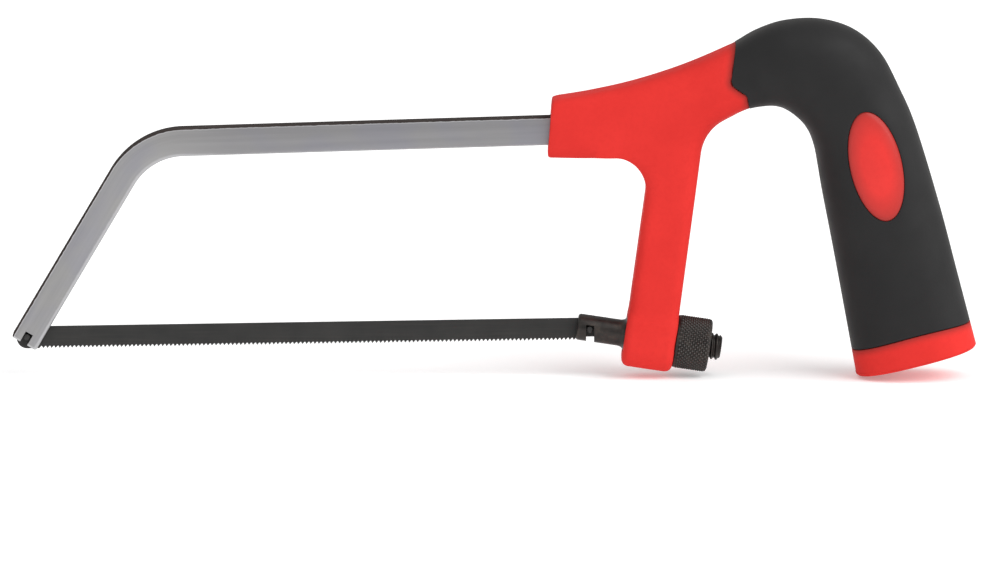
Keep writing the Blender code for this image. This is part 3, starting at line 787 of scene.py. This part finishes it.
def blade_steel():
    """Black lacquered hardened strip: rolling marks along it, and rubbed spots."""
    look = Look("black blade steel", {"Metallic": 0.25, "Specular IOR Level": 0.4})
    streaks = look.streaks(look.place, (60, 2400, 2400), 4, 0.6, (0, BLADE_TILT, 0))
    patches = look.noise(130, 3)
    base = look.span(patches, (0.0165, 0.0165, 0.0160), (0.0240, 0.0232, 0.0222))
    colour = look.mix(look.ramp(streaks, ((0.45, 0.0), (0.80, 0.5))), base, (0.040, 0.037, 0.034))
    rough = look.span(streaks, 0.46, 0.58)
    return look.set(colour, rough, look.bump(streaks, 0.00001, 0.5))


def pin_steel():
    """Dark hardened pin with turning marks on its ends."""
    look = Look("hardened pin steel", {"Metallic": 0.6})
    patches = look.noise(1800, 4)
    colour = look.span(patches, (0.030, 0.029, 0.029), (0.054, 0.052, 0.050))
    rough = look.span(patches, 0.38, 0.52)
    return look.set(colour, rough, look.bump(look.noise(6000, 3), 0.00001, 0.4))


def floor_card():
    """Plain pale studio card."""
    look = Look("pale card", {
        "Roughness": 0.9,
        "Specular IOR Level": 0.1,
        "Emission Color": (1, 1, 1, 1),
        "Emission Strength": 0.22,
    })
    colour = look.span(look.noise(3, 3), (0.945, 0.945, 0.945), (0.955, 0.955, 0.955))
    return look.set(colour, None, look.bump(look.noise(900, 3), 0.00003, 0.1))


# ---------------------------------------------------------------- pieces


def bar_section(inset):
    """The bar's section as points of (outward, y)."""
    depth, half = BAR_HALF_DEPTH - inset, BAR_HALF_THICKNESS - inset
    inner_depth = BAR_INNER_DEPTH - inset
    outer = max(BAR_OUTER_ROUND - inset, BAR_LEAST_ROUND)
    inner = max(BAR_INNER_ROUND - inset, BAR_LEAST_ROUND)
    return rounded_section((
        ((depth - outer, half - outer), outer),
        ((inner - inner_depth, half - inner), inner),
        ((inner - inner_depth, inner - half), inner),
        ((depth - outer, outer - half), outer),
    ), 6)


def bar_path():
    """Places along the bar's centre line: (distance, point, outward direction)."""
    climb = math.tan(FRONT_SLOPE) - math.tan(ARM_SLOPE)
    corner = arm_point((ARM_HEIGHT - BAR_END.z + BAR_END.x * math.tan(FRONT_SLOPE)) / climb)
    turn = FRONT_SLOPE - ARM_SLOPE
    front_length = (corner - BAR_END).length - BEND_RADIUS * math.tan(turn / 2)
    bend_start = BAR_END + FRONT_DIRECTION * front_length
    centre = bend_start - FRONT_SQUARE * BEND_RADIUS
    slope = np.linspace(BAR_END_ROUND, front_length, 24)
    places = [(s, BAR_END + FRONT_DIRECTION * s, FRONT_SQUARE) for s in slope]
    for share in np.linspace(0, 1, 41)[1:]:
        angle = FRONT_SLOPE - share * turn
        outward = Vector((-math.sin(angle), 0, math.cos(angle)))
        places.append((front_length + share * turn * BEND_RADIUS, centre + outward * BEND_RADIUS, outward))
    start_s, start, outward = places[-1]
    end = arm_point(TANG_END)
    for share in np.linspace(0, 1, 40)[1:]:
        places.append((start_s + share * (end - start).length, start.lerp(end, share), outward))
    return places


def make_bar(material):
    """The bent bar, with its front slit and the notch for the blade's pin."""
    rows = []
    for turn in np.linspace(math.pi / 2, 0, 5)[:-1]:
        inset = BAR_END_ROUND * (1 - math.cos(turn))
        s = BAR_END_ROUND * (1 - math.sin(turn))
        rows.append((s, BAR_END + FRONT_DIRECTION * s, FRONT_SQUARE, inset))
    rows.extend((*place, 0.0) for place in bar_path())
    rings, path = [], []
    for s, point, square, inset in rows:
        section = bar_section(inset)
        rings.append([point + square * outward + Vector((0, y, 0)) for outward, y in section])
        path.extend((s, outward, y) for outward, y in section)
    bar = mesh_object("bar", *skin(rings))
    bar.data.attributes.new("path", "FLOAT_VECTOR", "POINT").data.foreach_set("vector", np.ravel(path))
    cuts = (
        (FRONT_SLIT_DEPTH, BAR_HALF_DEPTH + OVERSHOOT, SLIT_HALF_WIDTH),
        (FRONT_NOTCH_DEPTH, FRONT_NOTCH_HALF_WIDTH, BAR_HALF_THICKNESS + OVERSHOOT),
    )
    for depth, half_across, half_width in cuts:
        low = BAR_END - FRONT_DIRECTION * OVERSHOOT
        high = BAR_END + FRONT_DIRECTION * depth
        across = FRONT_SQUARE * half_across
        corners = (low + across, high + across, high - across, low - across)
        boolean(bar, "DIFFERENCE", prism([(p.x, p.z) for p in corners], -half_width, half_width))
    place_cut_points(bar.data)
    return finish_piece(bar, "frame", ["frame_bar"], material)


def place_cut_points(mesh):
    """Stores the path of every vertex round the cuts anew, because the ones that a cut makes have none."""
    values = mesh.attributes["path"].data
    path = read_vectors(values, "vector")
    from_end = get_points(mesh) - np.array(BAR_END)
    along = from_end @ np.array(FRONT_DIRECTION)
    outward = from_end @ np.array(FRONT_SQUARE)
    near = along < FRONT_SLIT_DEPTH + OVERSHOOT
    path[near] = np.stack((along, outward, from_end[:, 1]), 1)[near]
    values.foreach_set("vector", path.ravel())


def leg_edges():
    """Points of (x, height) along the leg's front and rear edges, with their fillets into the arm."""
    front = bolt_point(LEG_CENTRE - LEG_HALF_WIDTH, -LEG_BELOW_AXIS)
    rear = bolt_point(LEG_CENTRE + LEG_HALF_WIDTH, -LEG_BELOW_AXIS)
    front_corner = leg_point(LEG_CENTRE - LEG_HALF_WIDTH, FRONT_WEB_CORNER)
    rear_corner = leg_point(LEG_CENTRE + LEG_HALF_WIDTH - REAR_EDGE_IN, REAR_WEB_CORNER)
    edges = []
    for start, corner, radius, end in (
        (front, front_corner, FRONT_FILLET, FRONT_WEB_END),
        (rear, rear_corner, REAR_FILLET, REAR_WEB_END),
    ):
        path = rounded_path([(start.x, start.z, 0), (corner.x, corner.z, radius), (*end, 0)], math.radians(4))
        edges.append(np.array(path))
    return edges


def leg_shape():
    """The leg as level sections with soft corners, widening into the arm's sides."""
    front, rear = leg_edges()
    low = max(front[0, 1], rear[0, 1])
    heights = np.unique(np.concatenate((
        np.linspace(low, LEG_TOP, 60),
        front[:, 1][front[:, 1] > low],
        rear[:, 1][(rear[:, 1] > low) & (rear[:, 1] < LEG_TOP)],
    )))
    rings = []
    for z in heights:
        x0 = np.interp(z, front[:, 1], front[:, 0])
        x1 = np.interp(z, rear[:, 1], rear[:, 0])
        half = LEG_HALF_THICKNESS + (LEG_TOP_HALF_THICKNESS - LEG_HALF_THICKNESS) * smoothstep(*LEG_WIDENS, z)
        front_r = LEG_CORNER
        rear_r = front_r + LEG_NOSE * smoothstep(LEG_WIDENS[0], LEG_TOP, z)
        section = rounded_section((
            ((x1 - rear_r, half - rear_r), rear_r),
            ((x0 + front_r, half - front_r), front_r),
            ((x0 + front_r, front_r - half), front_r),
            ((x1 - rear_r, rear_r - half), rear_r),
        ), 7)
        rings.append([(x, y, z) for x, y in section])
    return skin(rings)


def boss_shape():
    """The leg's thicker foot round the bolt, about the bolt's axis."""
    side, up = squared_circle(ring_angles(64), BOSS_SQUARENESS)
    rows = []
    for turn in np.linspace(0, math.pi / 2, 6):
        rows.append((BOSS_EDGE * (1 - math.cos(turn)) - BOSS_HALF_LENGTH, BOSS_EDGE * (1 - math.sin(turn))))
    rows += [(-along, inset) for along, inset in reversed(rows)]
    middle = LEG_CENTRE - BOSS_FORWARD
    return skin([
        ring_at(middle + along, side * (BOSS_HALF_THICKNESS - inset), up * (BOSS_HALF_HEIGHT - inset))
        for along, inset in rows
    ])


def make_moulding(material):
    """The red arm, leg and foot as one blended moulding, with the bar's socket and the bolt's way through."""
    sides = 96
    angles = ring_angles(sides)
    rings = []
    for turn in np.linspace(math.pi / 2, 0, 5):
        inset = SOCKET_LIP * (1 - math.cos(turn))
        shift = SOCKET_LIP * (1 - math.sin(turn))
        rings.append(handle_points(0.0, angles, inset, shift))
    rings.extend(handle_rings(*RED_SKIN, 80, sides))
    moulding = mesh_object("moulding", *skin(rings))
    line = [(x + RED_BEHIND, z) for x, z in SLEEVE_LINE]
    far = line[0][0] + 2 * FAR_SIDE
    beyond = [(line[-1][0], 0.0), (far, 0.0), (far, line[0][1])]
    boolean(moulding, "DIFFERENCE", prism(line + beyond, -FAR_SIDE, FAR_SIDE))
    boolean(moulding, "UNION", skin(handle_rings(*RED_CORE, 30, 64, SLEEVE_THICKNESS)))
    boolean(moulding, "UNION", leg_shape())
    boolean(moulding, "UNION", boss_shape(), BOLT_FRAME)
    remesh = moulding.modifiers.new("blend", "REMESH")
    remesh.mode = "VOXEL"
    remesh.voxel_size = BLEND_VOXEL
    smooth = moulding.modifiers.new("soften", "SMOOTH")
    smooth.factor = 0.5
    smooth.iterations = BLEND_ROUNDS
    apply_modifiers(moulding)
    blend_sides(moulding.data)
    above = BAR_HALF_DEPTH + SOCKET_GAP
    below = -BAR_INNER_DEPTH - SOCKET_GAP
    mouth = RIBS[0][2] - OVERSHOOT
    tang = [arm_point(mouth, above), arm_point(TANG_END, above)]
    tang += [arm_point(TANG_END, below), arm_point(mouth, below)]
    half = BAR_HALF_THICKNESS + SOCKET_GAP
    boolean(moulding, "DIFFERENCE", prism([(p.x, p.z) for p in tang], -half, half))
    boolean(moulding, "DIFFERENCE", skin(bolt_way_rings()), BOLT_FRAME)
    # Painted shade: "joint" rises to 1 at the sleeve's edge, where the material darkens the red as the
    # sleeve's edge would shade it
    add_values(moulding, "joint", smoothstep(-BLUSH_WIDTH, 0, behind_sleeve_line(get_points(moulding.data))))
    return finish_piece(moulding, "frame", ["handle_core"], material)


def blend_sides(mesh):
    """Evens out the sides where arm, leg and foot meet, and sinks the surface towards the sleeve's edge."""
    points = get_points(mesh)
    normals = read_vectors(mesh.vertex_normals, "vector")
    sideways = smoothstep(*SIDE_FACING, np.abs(normals[:, 1]))
    for joint, rounds in ((ARM_JOINT, 160), (FOOT_JOINT, 24)):
        strength = 0.5 * sideways * between(*joint, points[:, 2])
        points[:, 1] = relax(mesh, points[:, 1], strength, rounds)
    behind = behind_sleeve_line(points)
    dip = (RED_DIP + RED_SIDE_DIP * sideways) * smoothstep(-RED_DIP_WIDTH, 0, behind)
    dip += RED_DIVE * smoothstep(-SEAM / 2, SEAM, behind)
    points -= normals * (dip * (behind < 2 * RED_BEHIND))[:, None]
    set_points(mesh, points)


def bolt_way_rings():
    """The shank's square pocket, then the thread's round way, as one cutter about the bolt's axis."""
    pocket_end = SHANK_END + SOCKET_GAP
    return [squared_ring(*row, ring_angles(64)) for row in (
        (SHANK_START - OVERSHOOT, SHANK_HALF + SOCKET_GAP, SHANK_SQUARENESS),
        (pocket_end, SHANK_HALF + SOCKET_GAP, SHANK_SQUARENESS),
        (pocket_end, THREAD_RADIUS + SOCKET_GAP, 2.0),
        (LEG_CENTRE + BOSS_HALF_LENGTH + OVERSHOOT, THREAD_RADIUS + SOCKET_GAP, 2.0),
    )]


def cap_joint_places(angles, above):
    """Where along the handle its surface meets the joint of cap and sleeve, or a line above it."""
    places = np.linspace(*CAP_STARTS_BETWEEN, SEARCH_STEPS)
    spots = handle_points(places[:, None], angles)
    return crossing(cap_joint_height(spots[..., 0]) + above - spots[..., 2], places)


def edge_rings(places, angles, way):
    """The ring at an edge, one a little inside it, and how far the edge's rounding reaches."""
    edge, into = handle_points(places, angles), handle_points(places + way * EDGE_STEP, angles)
    return edge, into, EDGE_STEP * SLEEVE_EDGE_ROUND / np.linalg.norm(into - edge, axis=-1)


def make_sleeve(material):
    """The soft sleeve, with rounded edges at the arm and at the cap, and an oval window on each side."""
    rows = 250
    angles = ring_angles(GRIP_SIDES)
    places = np.linspace(*SLEEVE_STARTS_BETWEEN, SEARCH_STEPS)
    start = crossing(behind_sleeve_line(handle_points(places[:, None], angles)), places)
    end = cap_joint_places(angles, SEAM / 2)
    first, second, roll_in = edge_rings(start, angles, 1)
    last, before, roll_out = edge_rings(end, angles, -1)
    share = np.linspace(0, 1, rows)[:, None]
    grid = handle_points(start + roll_in + share * (end - roll_out - start - roll_in), angles)
    points, faces = skin(grid)
    outside = BVHTree.FromPolygons(points.tolist(), faces)
    normal = unit(np.cross(np.gradient(grid, axis=0), np.roll(grid, -1, 1) - np.roll(grid, 1, 1)))
    normal *= np.sign((normal * (grid - grid.mean(1, keepdims=True))).sum(-1, keepdims=True))
    _, distance = badge_place(grid)
    dip = WINDOW_DIP * np.exp(-np.maximum(distance, 0) / WINDOW_DIP_WIDTH)
    dip *= smoothstep(*WINDOW_SIDE, np.abs(grid[..., 1]))
    grid = grid - normal * dip[..., None]
    front = rolled_edge(first, second, SLEEVE_EDGE_ROUND, SLEEVE_EDGE_DEPTH)
    rear = rolled_edge(last, before, SLEEVE_EDGE_ROUND, SLEEVE_EDGE_DEPTH)[::-1]
    sleeve = mesh_object("sleeve", *skin([*front[:-1], *grid, *rear[1:]]))
    for side in (-1, 1):
        low, high = sorted((side * WINDOW_FLOOR, side * WINDOW_CUT_END))
        boolean(sleeve, "DIFFERENCE", prism(badge_outline(1.0, grow=SEAM / 2), low, high))
    finish_piece(sleeve, "frame", ["grip_sleeve"], material)
    return outside


def make_badges(material, outside):
    """A plain domed oval in each window, whose edge rolls in below the sleeve's surface."""
    sides = 120
    edge_share = BADGE_EDGE_ROUND / BADGE_HALF_WIDTH
    for name, node, side in (("badge_a", "badge_left", -1), ("badge_b", "badge_right", 1)):
        rings = []
        shares = [1.0, *(1 - edge_share * np.linspace(0, 1, 9)), *np.linspace(1 - edge_share, 0.03, 16)[1:]]
        for k, share in enumerate(shares):
            roll = min(1.0, (1 - share) / edge_share)
            drop = BADGE_EDGE_ROUND * (1 - math.sqrt(1 - (1 - roll) ** 2)) * BADGE_EDGE_DROP
            ring = []
            for x, z in badge_outline(share, sides):
                hit = outside.ray_cast(Vector((x, side * FAR_SIDE, z)), Vector((0, -side, 0)))[0]
                height = abs(hit.y) + BADGE_PROUD * (1 - share**2) - drop
                if k == 0:
                    height = WINDOW_FLOOR - SEAM
                ring.append((x, side * height, z))
            rings.append(ring)
        badge = mesh_object(name, *skin(rings))
        # Painted shade: "joint" rises to 1 at the badge's rim, where the material darkens it as shade in the
        # window's recess
        add_values(badge, "joint", np.repeat(shares, sides))
        finish_piece(badge, "frame", [node], material)


def make_cap(material):
    """The grip's closing cap, with a rolled edge at the joint and a soft rim at the bottom."""
    rows = 44
    angles = ring_angles(GRIP_SIDES)
    start = cap_joint_places(angles, -SEAM / 2)
    first, second, roll_in = edge_rings(start, angles, 1)
    share = np.linspace(0, 1, rows)[:, None]
    grid = handle_points(start + roll_in + share * (CAP_RIM_START - start - roll_in), angles)
    front = rolled_edge(first, second, SLEEVE_EDGE_ROUND, SLEEVE_THICKNESS)
    rim = [
        handle_points(float(LAST_RIB), angles, CAP_RIM * (1 - math.cos(turn)), CAP_RIM * (math.sin(turn) - 1))
        for turn in np.linspace(0, math.pi / 2, 9)
    ]
    cap = mesh_object("cap", *skin([*front[:-1], *grid, *rim]))
    points = get_points(cap.data)
    above = points[:, 2] - cap_joint_height(points[:, 0])
    # Painted shade: "joint" rises to 1 at the cap's joint with the sleeve, where the material darkens the red
    add_values(cap, "joint", smoothstep(-BLUSH_WIDTH, 0, above))
    return finish_piece(cap, "frame", ["end_cap"], material)


def blade_columns():
    """Columns along the blade: (x, lower edge, upper edge), with the teeth and both round ends."""
    end = (BLADE_LENGTH - PIN_SPACING) / 2
    front = -PIN_SPACING - end
    radius = (BLADE_BACK + BLADE_TIPS) / 2 * BLADE_END_ROUNDING
    rounding = []
    for turn in np.linspace(0, math.pi / 2, 10):
        rise = radius * (1 - math.sin(turn))
        rounding.append((radius * (1 - math.cos(turn)), rise - BLADE_TIPS, BLADE_BACK - rise))
    columns = [(front + x, low, high) for x, low, high in rounding]
    plain = np.linspace(front + radius, front + PLAIN_ENDS, 6)[1:-1]
    columns += [(x, -BLADE_TIPS, BLADE_BACK) for x in plain]
    count = int((BLADE_LENGTH - 2 * PLAIN_ENDS) / TOOTH_PITCH)
    for tooth in range(count):
        tip = front + PLAIN_ENDS + tooth * TOOTH_PITCH
        for share, depth in TOOTH_OUTLINE:
            columns.append((tip + share * TOOTH_PITCH, depth * TOOTH_DEPTH - BLADE_TIPS, BLADE_BACK))
    last = front + PLAIN_ENDS + count * TOOTH_PITCH
    columns += [(x, -BLADE_PLAIN, BLADE_BACK) for x in np.linspace(last, end - radius, 6)[:-1]]
    columns += [(end - x, max(low, -BLADE_PLAIN), high) for x, low, high in reversed(rounding)]
    return columns


def make_blade(material):
    """The blade, whose teeth lean left and right in waves."""
    rings = []
    front, rear = SET_ENDS - PIN_SPACING, -SET_ENDS
    half = BLADE_HALF_THICKNESS - BLADE_CHAMFER * np.array((1, 0, 0, 0, 0, 1))
    spread = np.arange(6) * 1e-6  # keeps levels apart where the blade is too low for all of them
    for x, low, high in blade_columns():
        heights = np.array((low, low + BLADE_EDGE, -BLADE_TIPS + SET_HEIGHT, 0.0, high - BLADE_EDGE, high))
        heights = np.maximum.accumulate(np.clip(heights, low, high))
        wave = SET_WIDTH * math.sin(math.tau * x / (SET_WAVE * TOOTH_PITCH))
        wave *= between((front - SET_FADE, front), (rear, rear + SET_FADE), x)
        lean = wave * (1 - smoothstep(-BLADE_TIPS + TOOTH_DEPTH, -BLADE_TIPS + SET_HEIGHT, heights))
        near, far = (np.stack((np.full(6, x), lean + side * half, heights + spread), 1) for side in (-1, 1))
        rings.append([*near, *far[::-1]])
    blade = mesh_object("blade", *skin(rings), sharp_over=25)
    blade.data.transform(BLADE_FRAME)
    return finish_piece(blade, "blade", ["saw_blade"], material)


def make_pins(material):
    """The blade's two cross pins, with domed ends."""
    profile = [(-PIN_HALF_LENGTH + PIN_DOME * (1 - math.cos(t)), PIN_RADIUS * math.sin(t) ** PIN_DOME_POWER)
               for t in np.linspace(0.05, math.pi / 2, 8)]
    profile += [(-x, radius) for x, radius in reversed(profile)]
    for name, node, centre in (
        ("pin_a", "blade_pin_front", FRONT_PIN),
        ("pin_b", "blade_pin_rear", REAR_PIN),
    ):
        pin = mesh_object(name, *skin(turned(profile, 40)))
        pin.data.transform(Matrix.Translation(centre) @ Matrix.Rotation(math.pi / 2, 4, "Z"))
        finish_piece(pin, "blade", [node], material)


def thread_rings(start, end, sides=72, rows_per_turn=16):
    """A right-hand thread about the local X axis, cut back to a chamfer at its end."""
    angle = full_turn(sides)
    tip = THREAD_RADIUS - THREAD_CHAMFER
    rings = []
    for x in np.arange(start, end, THREAD_PITCH / rows_per_turn):
        phase = np.mod(x / THREAD_PITCH - angle / math.tau, 1.0)
        flank = np.abs(phase - 0.5) * 2
        height = smoothstep(THREAD_FLAT, THREAD_FLAT + THREAD_FLANKS, flank)
        radius = THREAD_ROOT + (THREAD_RADIUS - THREAD_ROOT) * height
        rings.append(round_ring(x, np.minimum(radius, tip + (end - x)), angle))
    rings.append(round_ring(end, tip, angle))
    rings.append(round_ring(end, tip - THREAD_END_RIM, angle))
    return rings


def make_bolt(material):
    """The tension bolt: forked holder, flare into a square shank, and the threaded end."""
    sides = 72
    angles = full_turn(sides)
    rows = [(ROD_FRONT + ROD_ROUND * (1 - math.cos(turn)), ROD_RADIUS - ROD_ROUND * (1 - math.sin(turn)), 2.0)
            for turn in np.linspace(0, math.pi / 2, 6)]
    rows += [(x, ROD_RADIUS, 2.0) for x in np.linspace(0, FLARE_START, 8)]
    for turn in np.linspace(0, math.pi / 2, 9)[1:]:
        share = 1 - math.cos(turn)
        rows.append((
            FLARE_START + (SHANK_START - FLARE_START) * math.sin(turn),
            ROD_RADIUS + (SHANK_HALF - ROD_RADIUS) * share,
            2.0 + (SHANK_SQUARENESS - 2.0) * share**2,
        ))
    rows.append((SHANK_END, SHANK_HALF, SHANK_SQUARENESS))
    rows.append((SHANK_END + SHANK_STEP, THREAD_ROOT, 2.0))
    rings = [squared_ring(*row, angles) for row in rows]
    rings.extend(thread_rings(SHANK_END + 2 * SHANK_STEP, THREAD_END, sides))
    bolt = mesh_object("bolt", *skin(rings))
    reach = 2 * ROD_RADIUS
    cuts = (
        (ROD_FRONT - OVERSHOOT, FORK_SLIT_END, reach, SLIT_HALF_WIDTH, 0.0),
        (*REAR_NOTCH, REAR_NOTCH_ABOVE, reach, math.tan(BOLT_TILT)),
    )
    for front, rear, top, half_width, lean in cuts:
        below, above = reach * lean, -top * lean
        corners = ((front + below, -reach), (rear + below, -reach), (rear + above, top), (front + above, top))
        boolean(bolt, "DIFFERENCE", prism(corners, -half_width, half_width))
    bolt.data.transform(BOLT_FRAME)
    return finish_piece(bolt, "bolt", ["tension_bolt"], material)


def nut_profile():
    """The nut's outside from its front bore edge to its rear one: (x, radius, share of the knurl)."""
    end = NUT_START + NUT_LENGTH
    profile = [(NUT_START + NUT_LIP, NUT_BORE, 0), (NUT_START, NUT_BORE + NUT_LIP, 0)]
    for turn in np.linspace(0, math.pi / 2, 5):
        back = NUT_FRONT_ROUND * (1 - math.cos(turn))
        down = NUT_FRONT_ROUND * (1 - math.sin(turn))
        profile.append((NUT_START + back, NUT_PLAIN_RADIUS - down, 0))
    knurl_start, knurl_end = NUT_START + NUT_PLAIN_FRONT, end - NUT_ROUND
    profile.append((knurl_start, NUT_PLAIN_RADIUS, 0))
    count = int((knurl_end - knurl_start) / KNURL_ROW)
    for x in np.linspace(knurl_start, knurl_end, count)[1:]:
        profile.append((x, NUT_RADIUS, smoothstep(knurl_start, knurl_start + KNURL_FADE, x)))
    for turn in np.linspace(0, math.pi / 2, 10)[1:]:
        profile.append((
            knurl_end + NUT_ROUND * math.sin(turn),
            NUT_RADIUS - NUT_ROUND * (1 - math.cos(turn)),
            math.cos(turn) ** 0.6,
        ))
    profile += [(end, NUT_BORE + NUT_LIP, 0), (end - NUT_LIP, NUT_BORE, 0)]
    return profile


def make_nut(material):
    """The round nut, with a diamond knurl cut into it by two families of crossing grooves."""
    sides = KNURL_LINES * 8
    angle = full_turn(sides)
    slant = math.tan(KNURL_LEAN) / NUT_RADIUS
    rings, crests = [], []
    for x, radius, knurl in nut_profile():
        heights = []
        for way in (-1, 1):
            phase = np.mod(KNURL_LINES * (angle + way * slant * x) / math.tau, 1.0)
            heights.append(1 - np.abs(2 * phase - 1))
        pyramid = np.minimum(1.0, CREST_WIDTH * np.minimum(*heights) ** CREST_POWER)
        reach = radius - knurl * KNURL_DEPTH * (1 - pyramid)
        rings.append(round_ring(x, reach, angle))
        crests.append(pyramid * knurl)
    nut = mesh_object("nut", *bands(rings, True), sharp_over=60)
    add_values(nut, "crest", np.ravel(crests))
    nut.data.transform(BOLT_FRAME)
    return finish_piece(nut, "nut", ["tension_nut"], material)


# ---------------------------------------------------------------- studio


def make_floor():
    """A wide pale card just under the saw, plain in every direction."""
    top, thickness, width = -0.0006, 0.0194, 14.0
    rings = [[(radius * math.cos(a), radius * math.sin(a), z) for a in full_turn(96)]
             for radius, z in ((0.05, top), (1.0, top), (width, top), (width, top - thickness))]
    floor = mesh_object("floor", *skin(rings))
    floor.data.materials.append(floor_card())


def make_sun(name, strength, spread, azimuth, elevation, colour=(1, 1, 1)):
    """A soft distant light from an azimuth (0 is the camera's side, 90 the grip's) and an elevation."""
    light = bpy.data.lights.new(name, "SUN")
    light.energy = strength
    light.angle = math.radians(spread)
    light.color = colour
    obj = bpy.data.objects.new(name, light)
    bpy.context.scene.collection.objects.link(obj)
    a, e = math.radians(azimuth), math.radians(elevation)
    away = Vector((math.sin(a) * math.cos(e), -math.cos(a) * math.cos(e), math.sin(e)))
    obj.rotation_euler = away.to_track_quat("Z", "Y").to_euler()


def make_light():
    world = bpy.data.worlds.new("studio")
    world.use_nodes = True
    background = world.node_tree.nodes["Background"]
    background.inputs["Color"].default_value = (1, 1, 1, 1)
    background.inputs["Strength"].default_value = 0.55
    bpy.context.scene.world = world
    make_sun("key", 2.5, 60, 58, 38)
    make_sun("fill", 0.4, 90, -50, 40)


def make_camera():
    """A long lens level with the saw's middle, from its left side and a little above."""
    width, lens, sensor = 0.2575, 400.0, 36.0
    distance = width * lens / sensor
    elevation = math.radians(8.5)
    target = Vector((0.00129, 0, 0.02294))
    camera = bpy.data.cameras.new("camera")
    camera.lens = lens
    camera.sensor_width = sensor
    camera.clip_end = 60
    obj = bpy.data.objects.new("camera", camera)
    bpy.context.scene.collection.objects.link(obj)
    away = Vector((0, -math.cos(elevation), math.sin(elevation)))
    obj.location = target + away * distance
    obj.rotation_euler = away.to_track_quat("Z", "Y").to_euler()
    bpy.context.scene.camera = obj


def main():
    # The last argument sets how far the painted shade beside the joints darkens the red
    red = red_plastic("red moulding", 0.55, 0.0, ((0.0, 0.0), (0.4, 0.22), (0.8, 0.60), (1.0, 0.95)))
    oxide = black_oxide("black oxide bolt", (2500, 300, 300))
    make_bar(nickel_steel())
    make_moulding(red)
    outside = make_sleeve(black_rubber())
    # The last argument sets how far the painted shade at the badge's rim darkens it
    badge_red = red_plastic("red badge", 0.34, 0.25, ((0.50, 0.0), (0.90, 0.55), (0.97, 0.80), (1.0, 1.0)))
    make_badges(badge_red, outside)
    make_cap(red)
    make_blade(blade_steel())
    make_pins(pin_steel())
    make_bolt(oxide)
    make_nut(black_oxide("black oxide nut", (600, 600, 600), "crest"))
    make_floor()
    make_light()
    make_camera()
    bpy.context.scene.view_settings.view_transform = "Standard"


main()
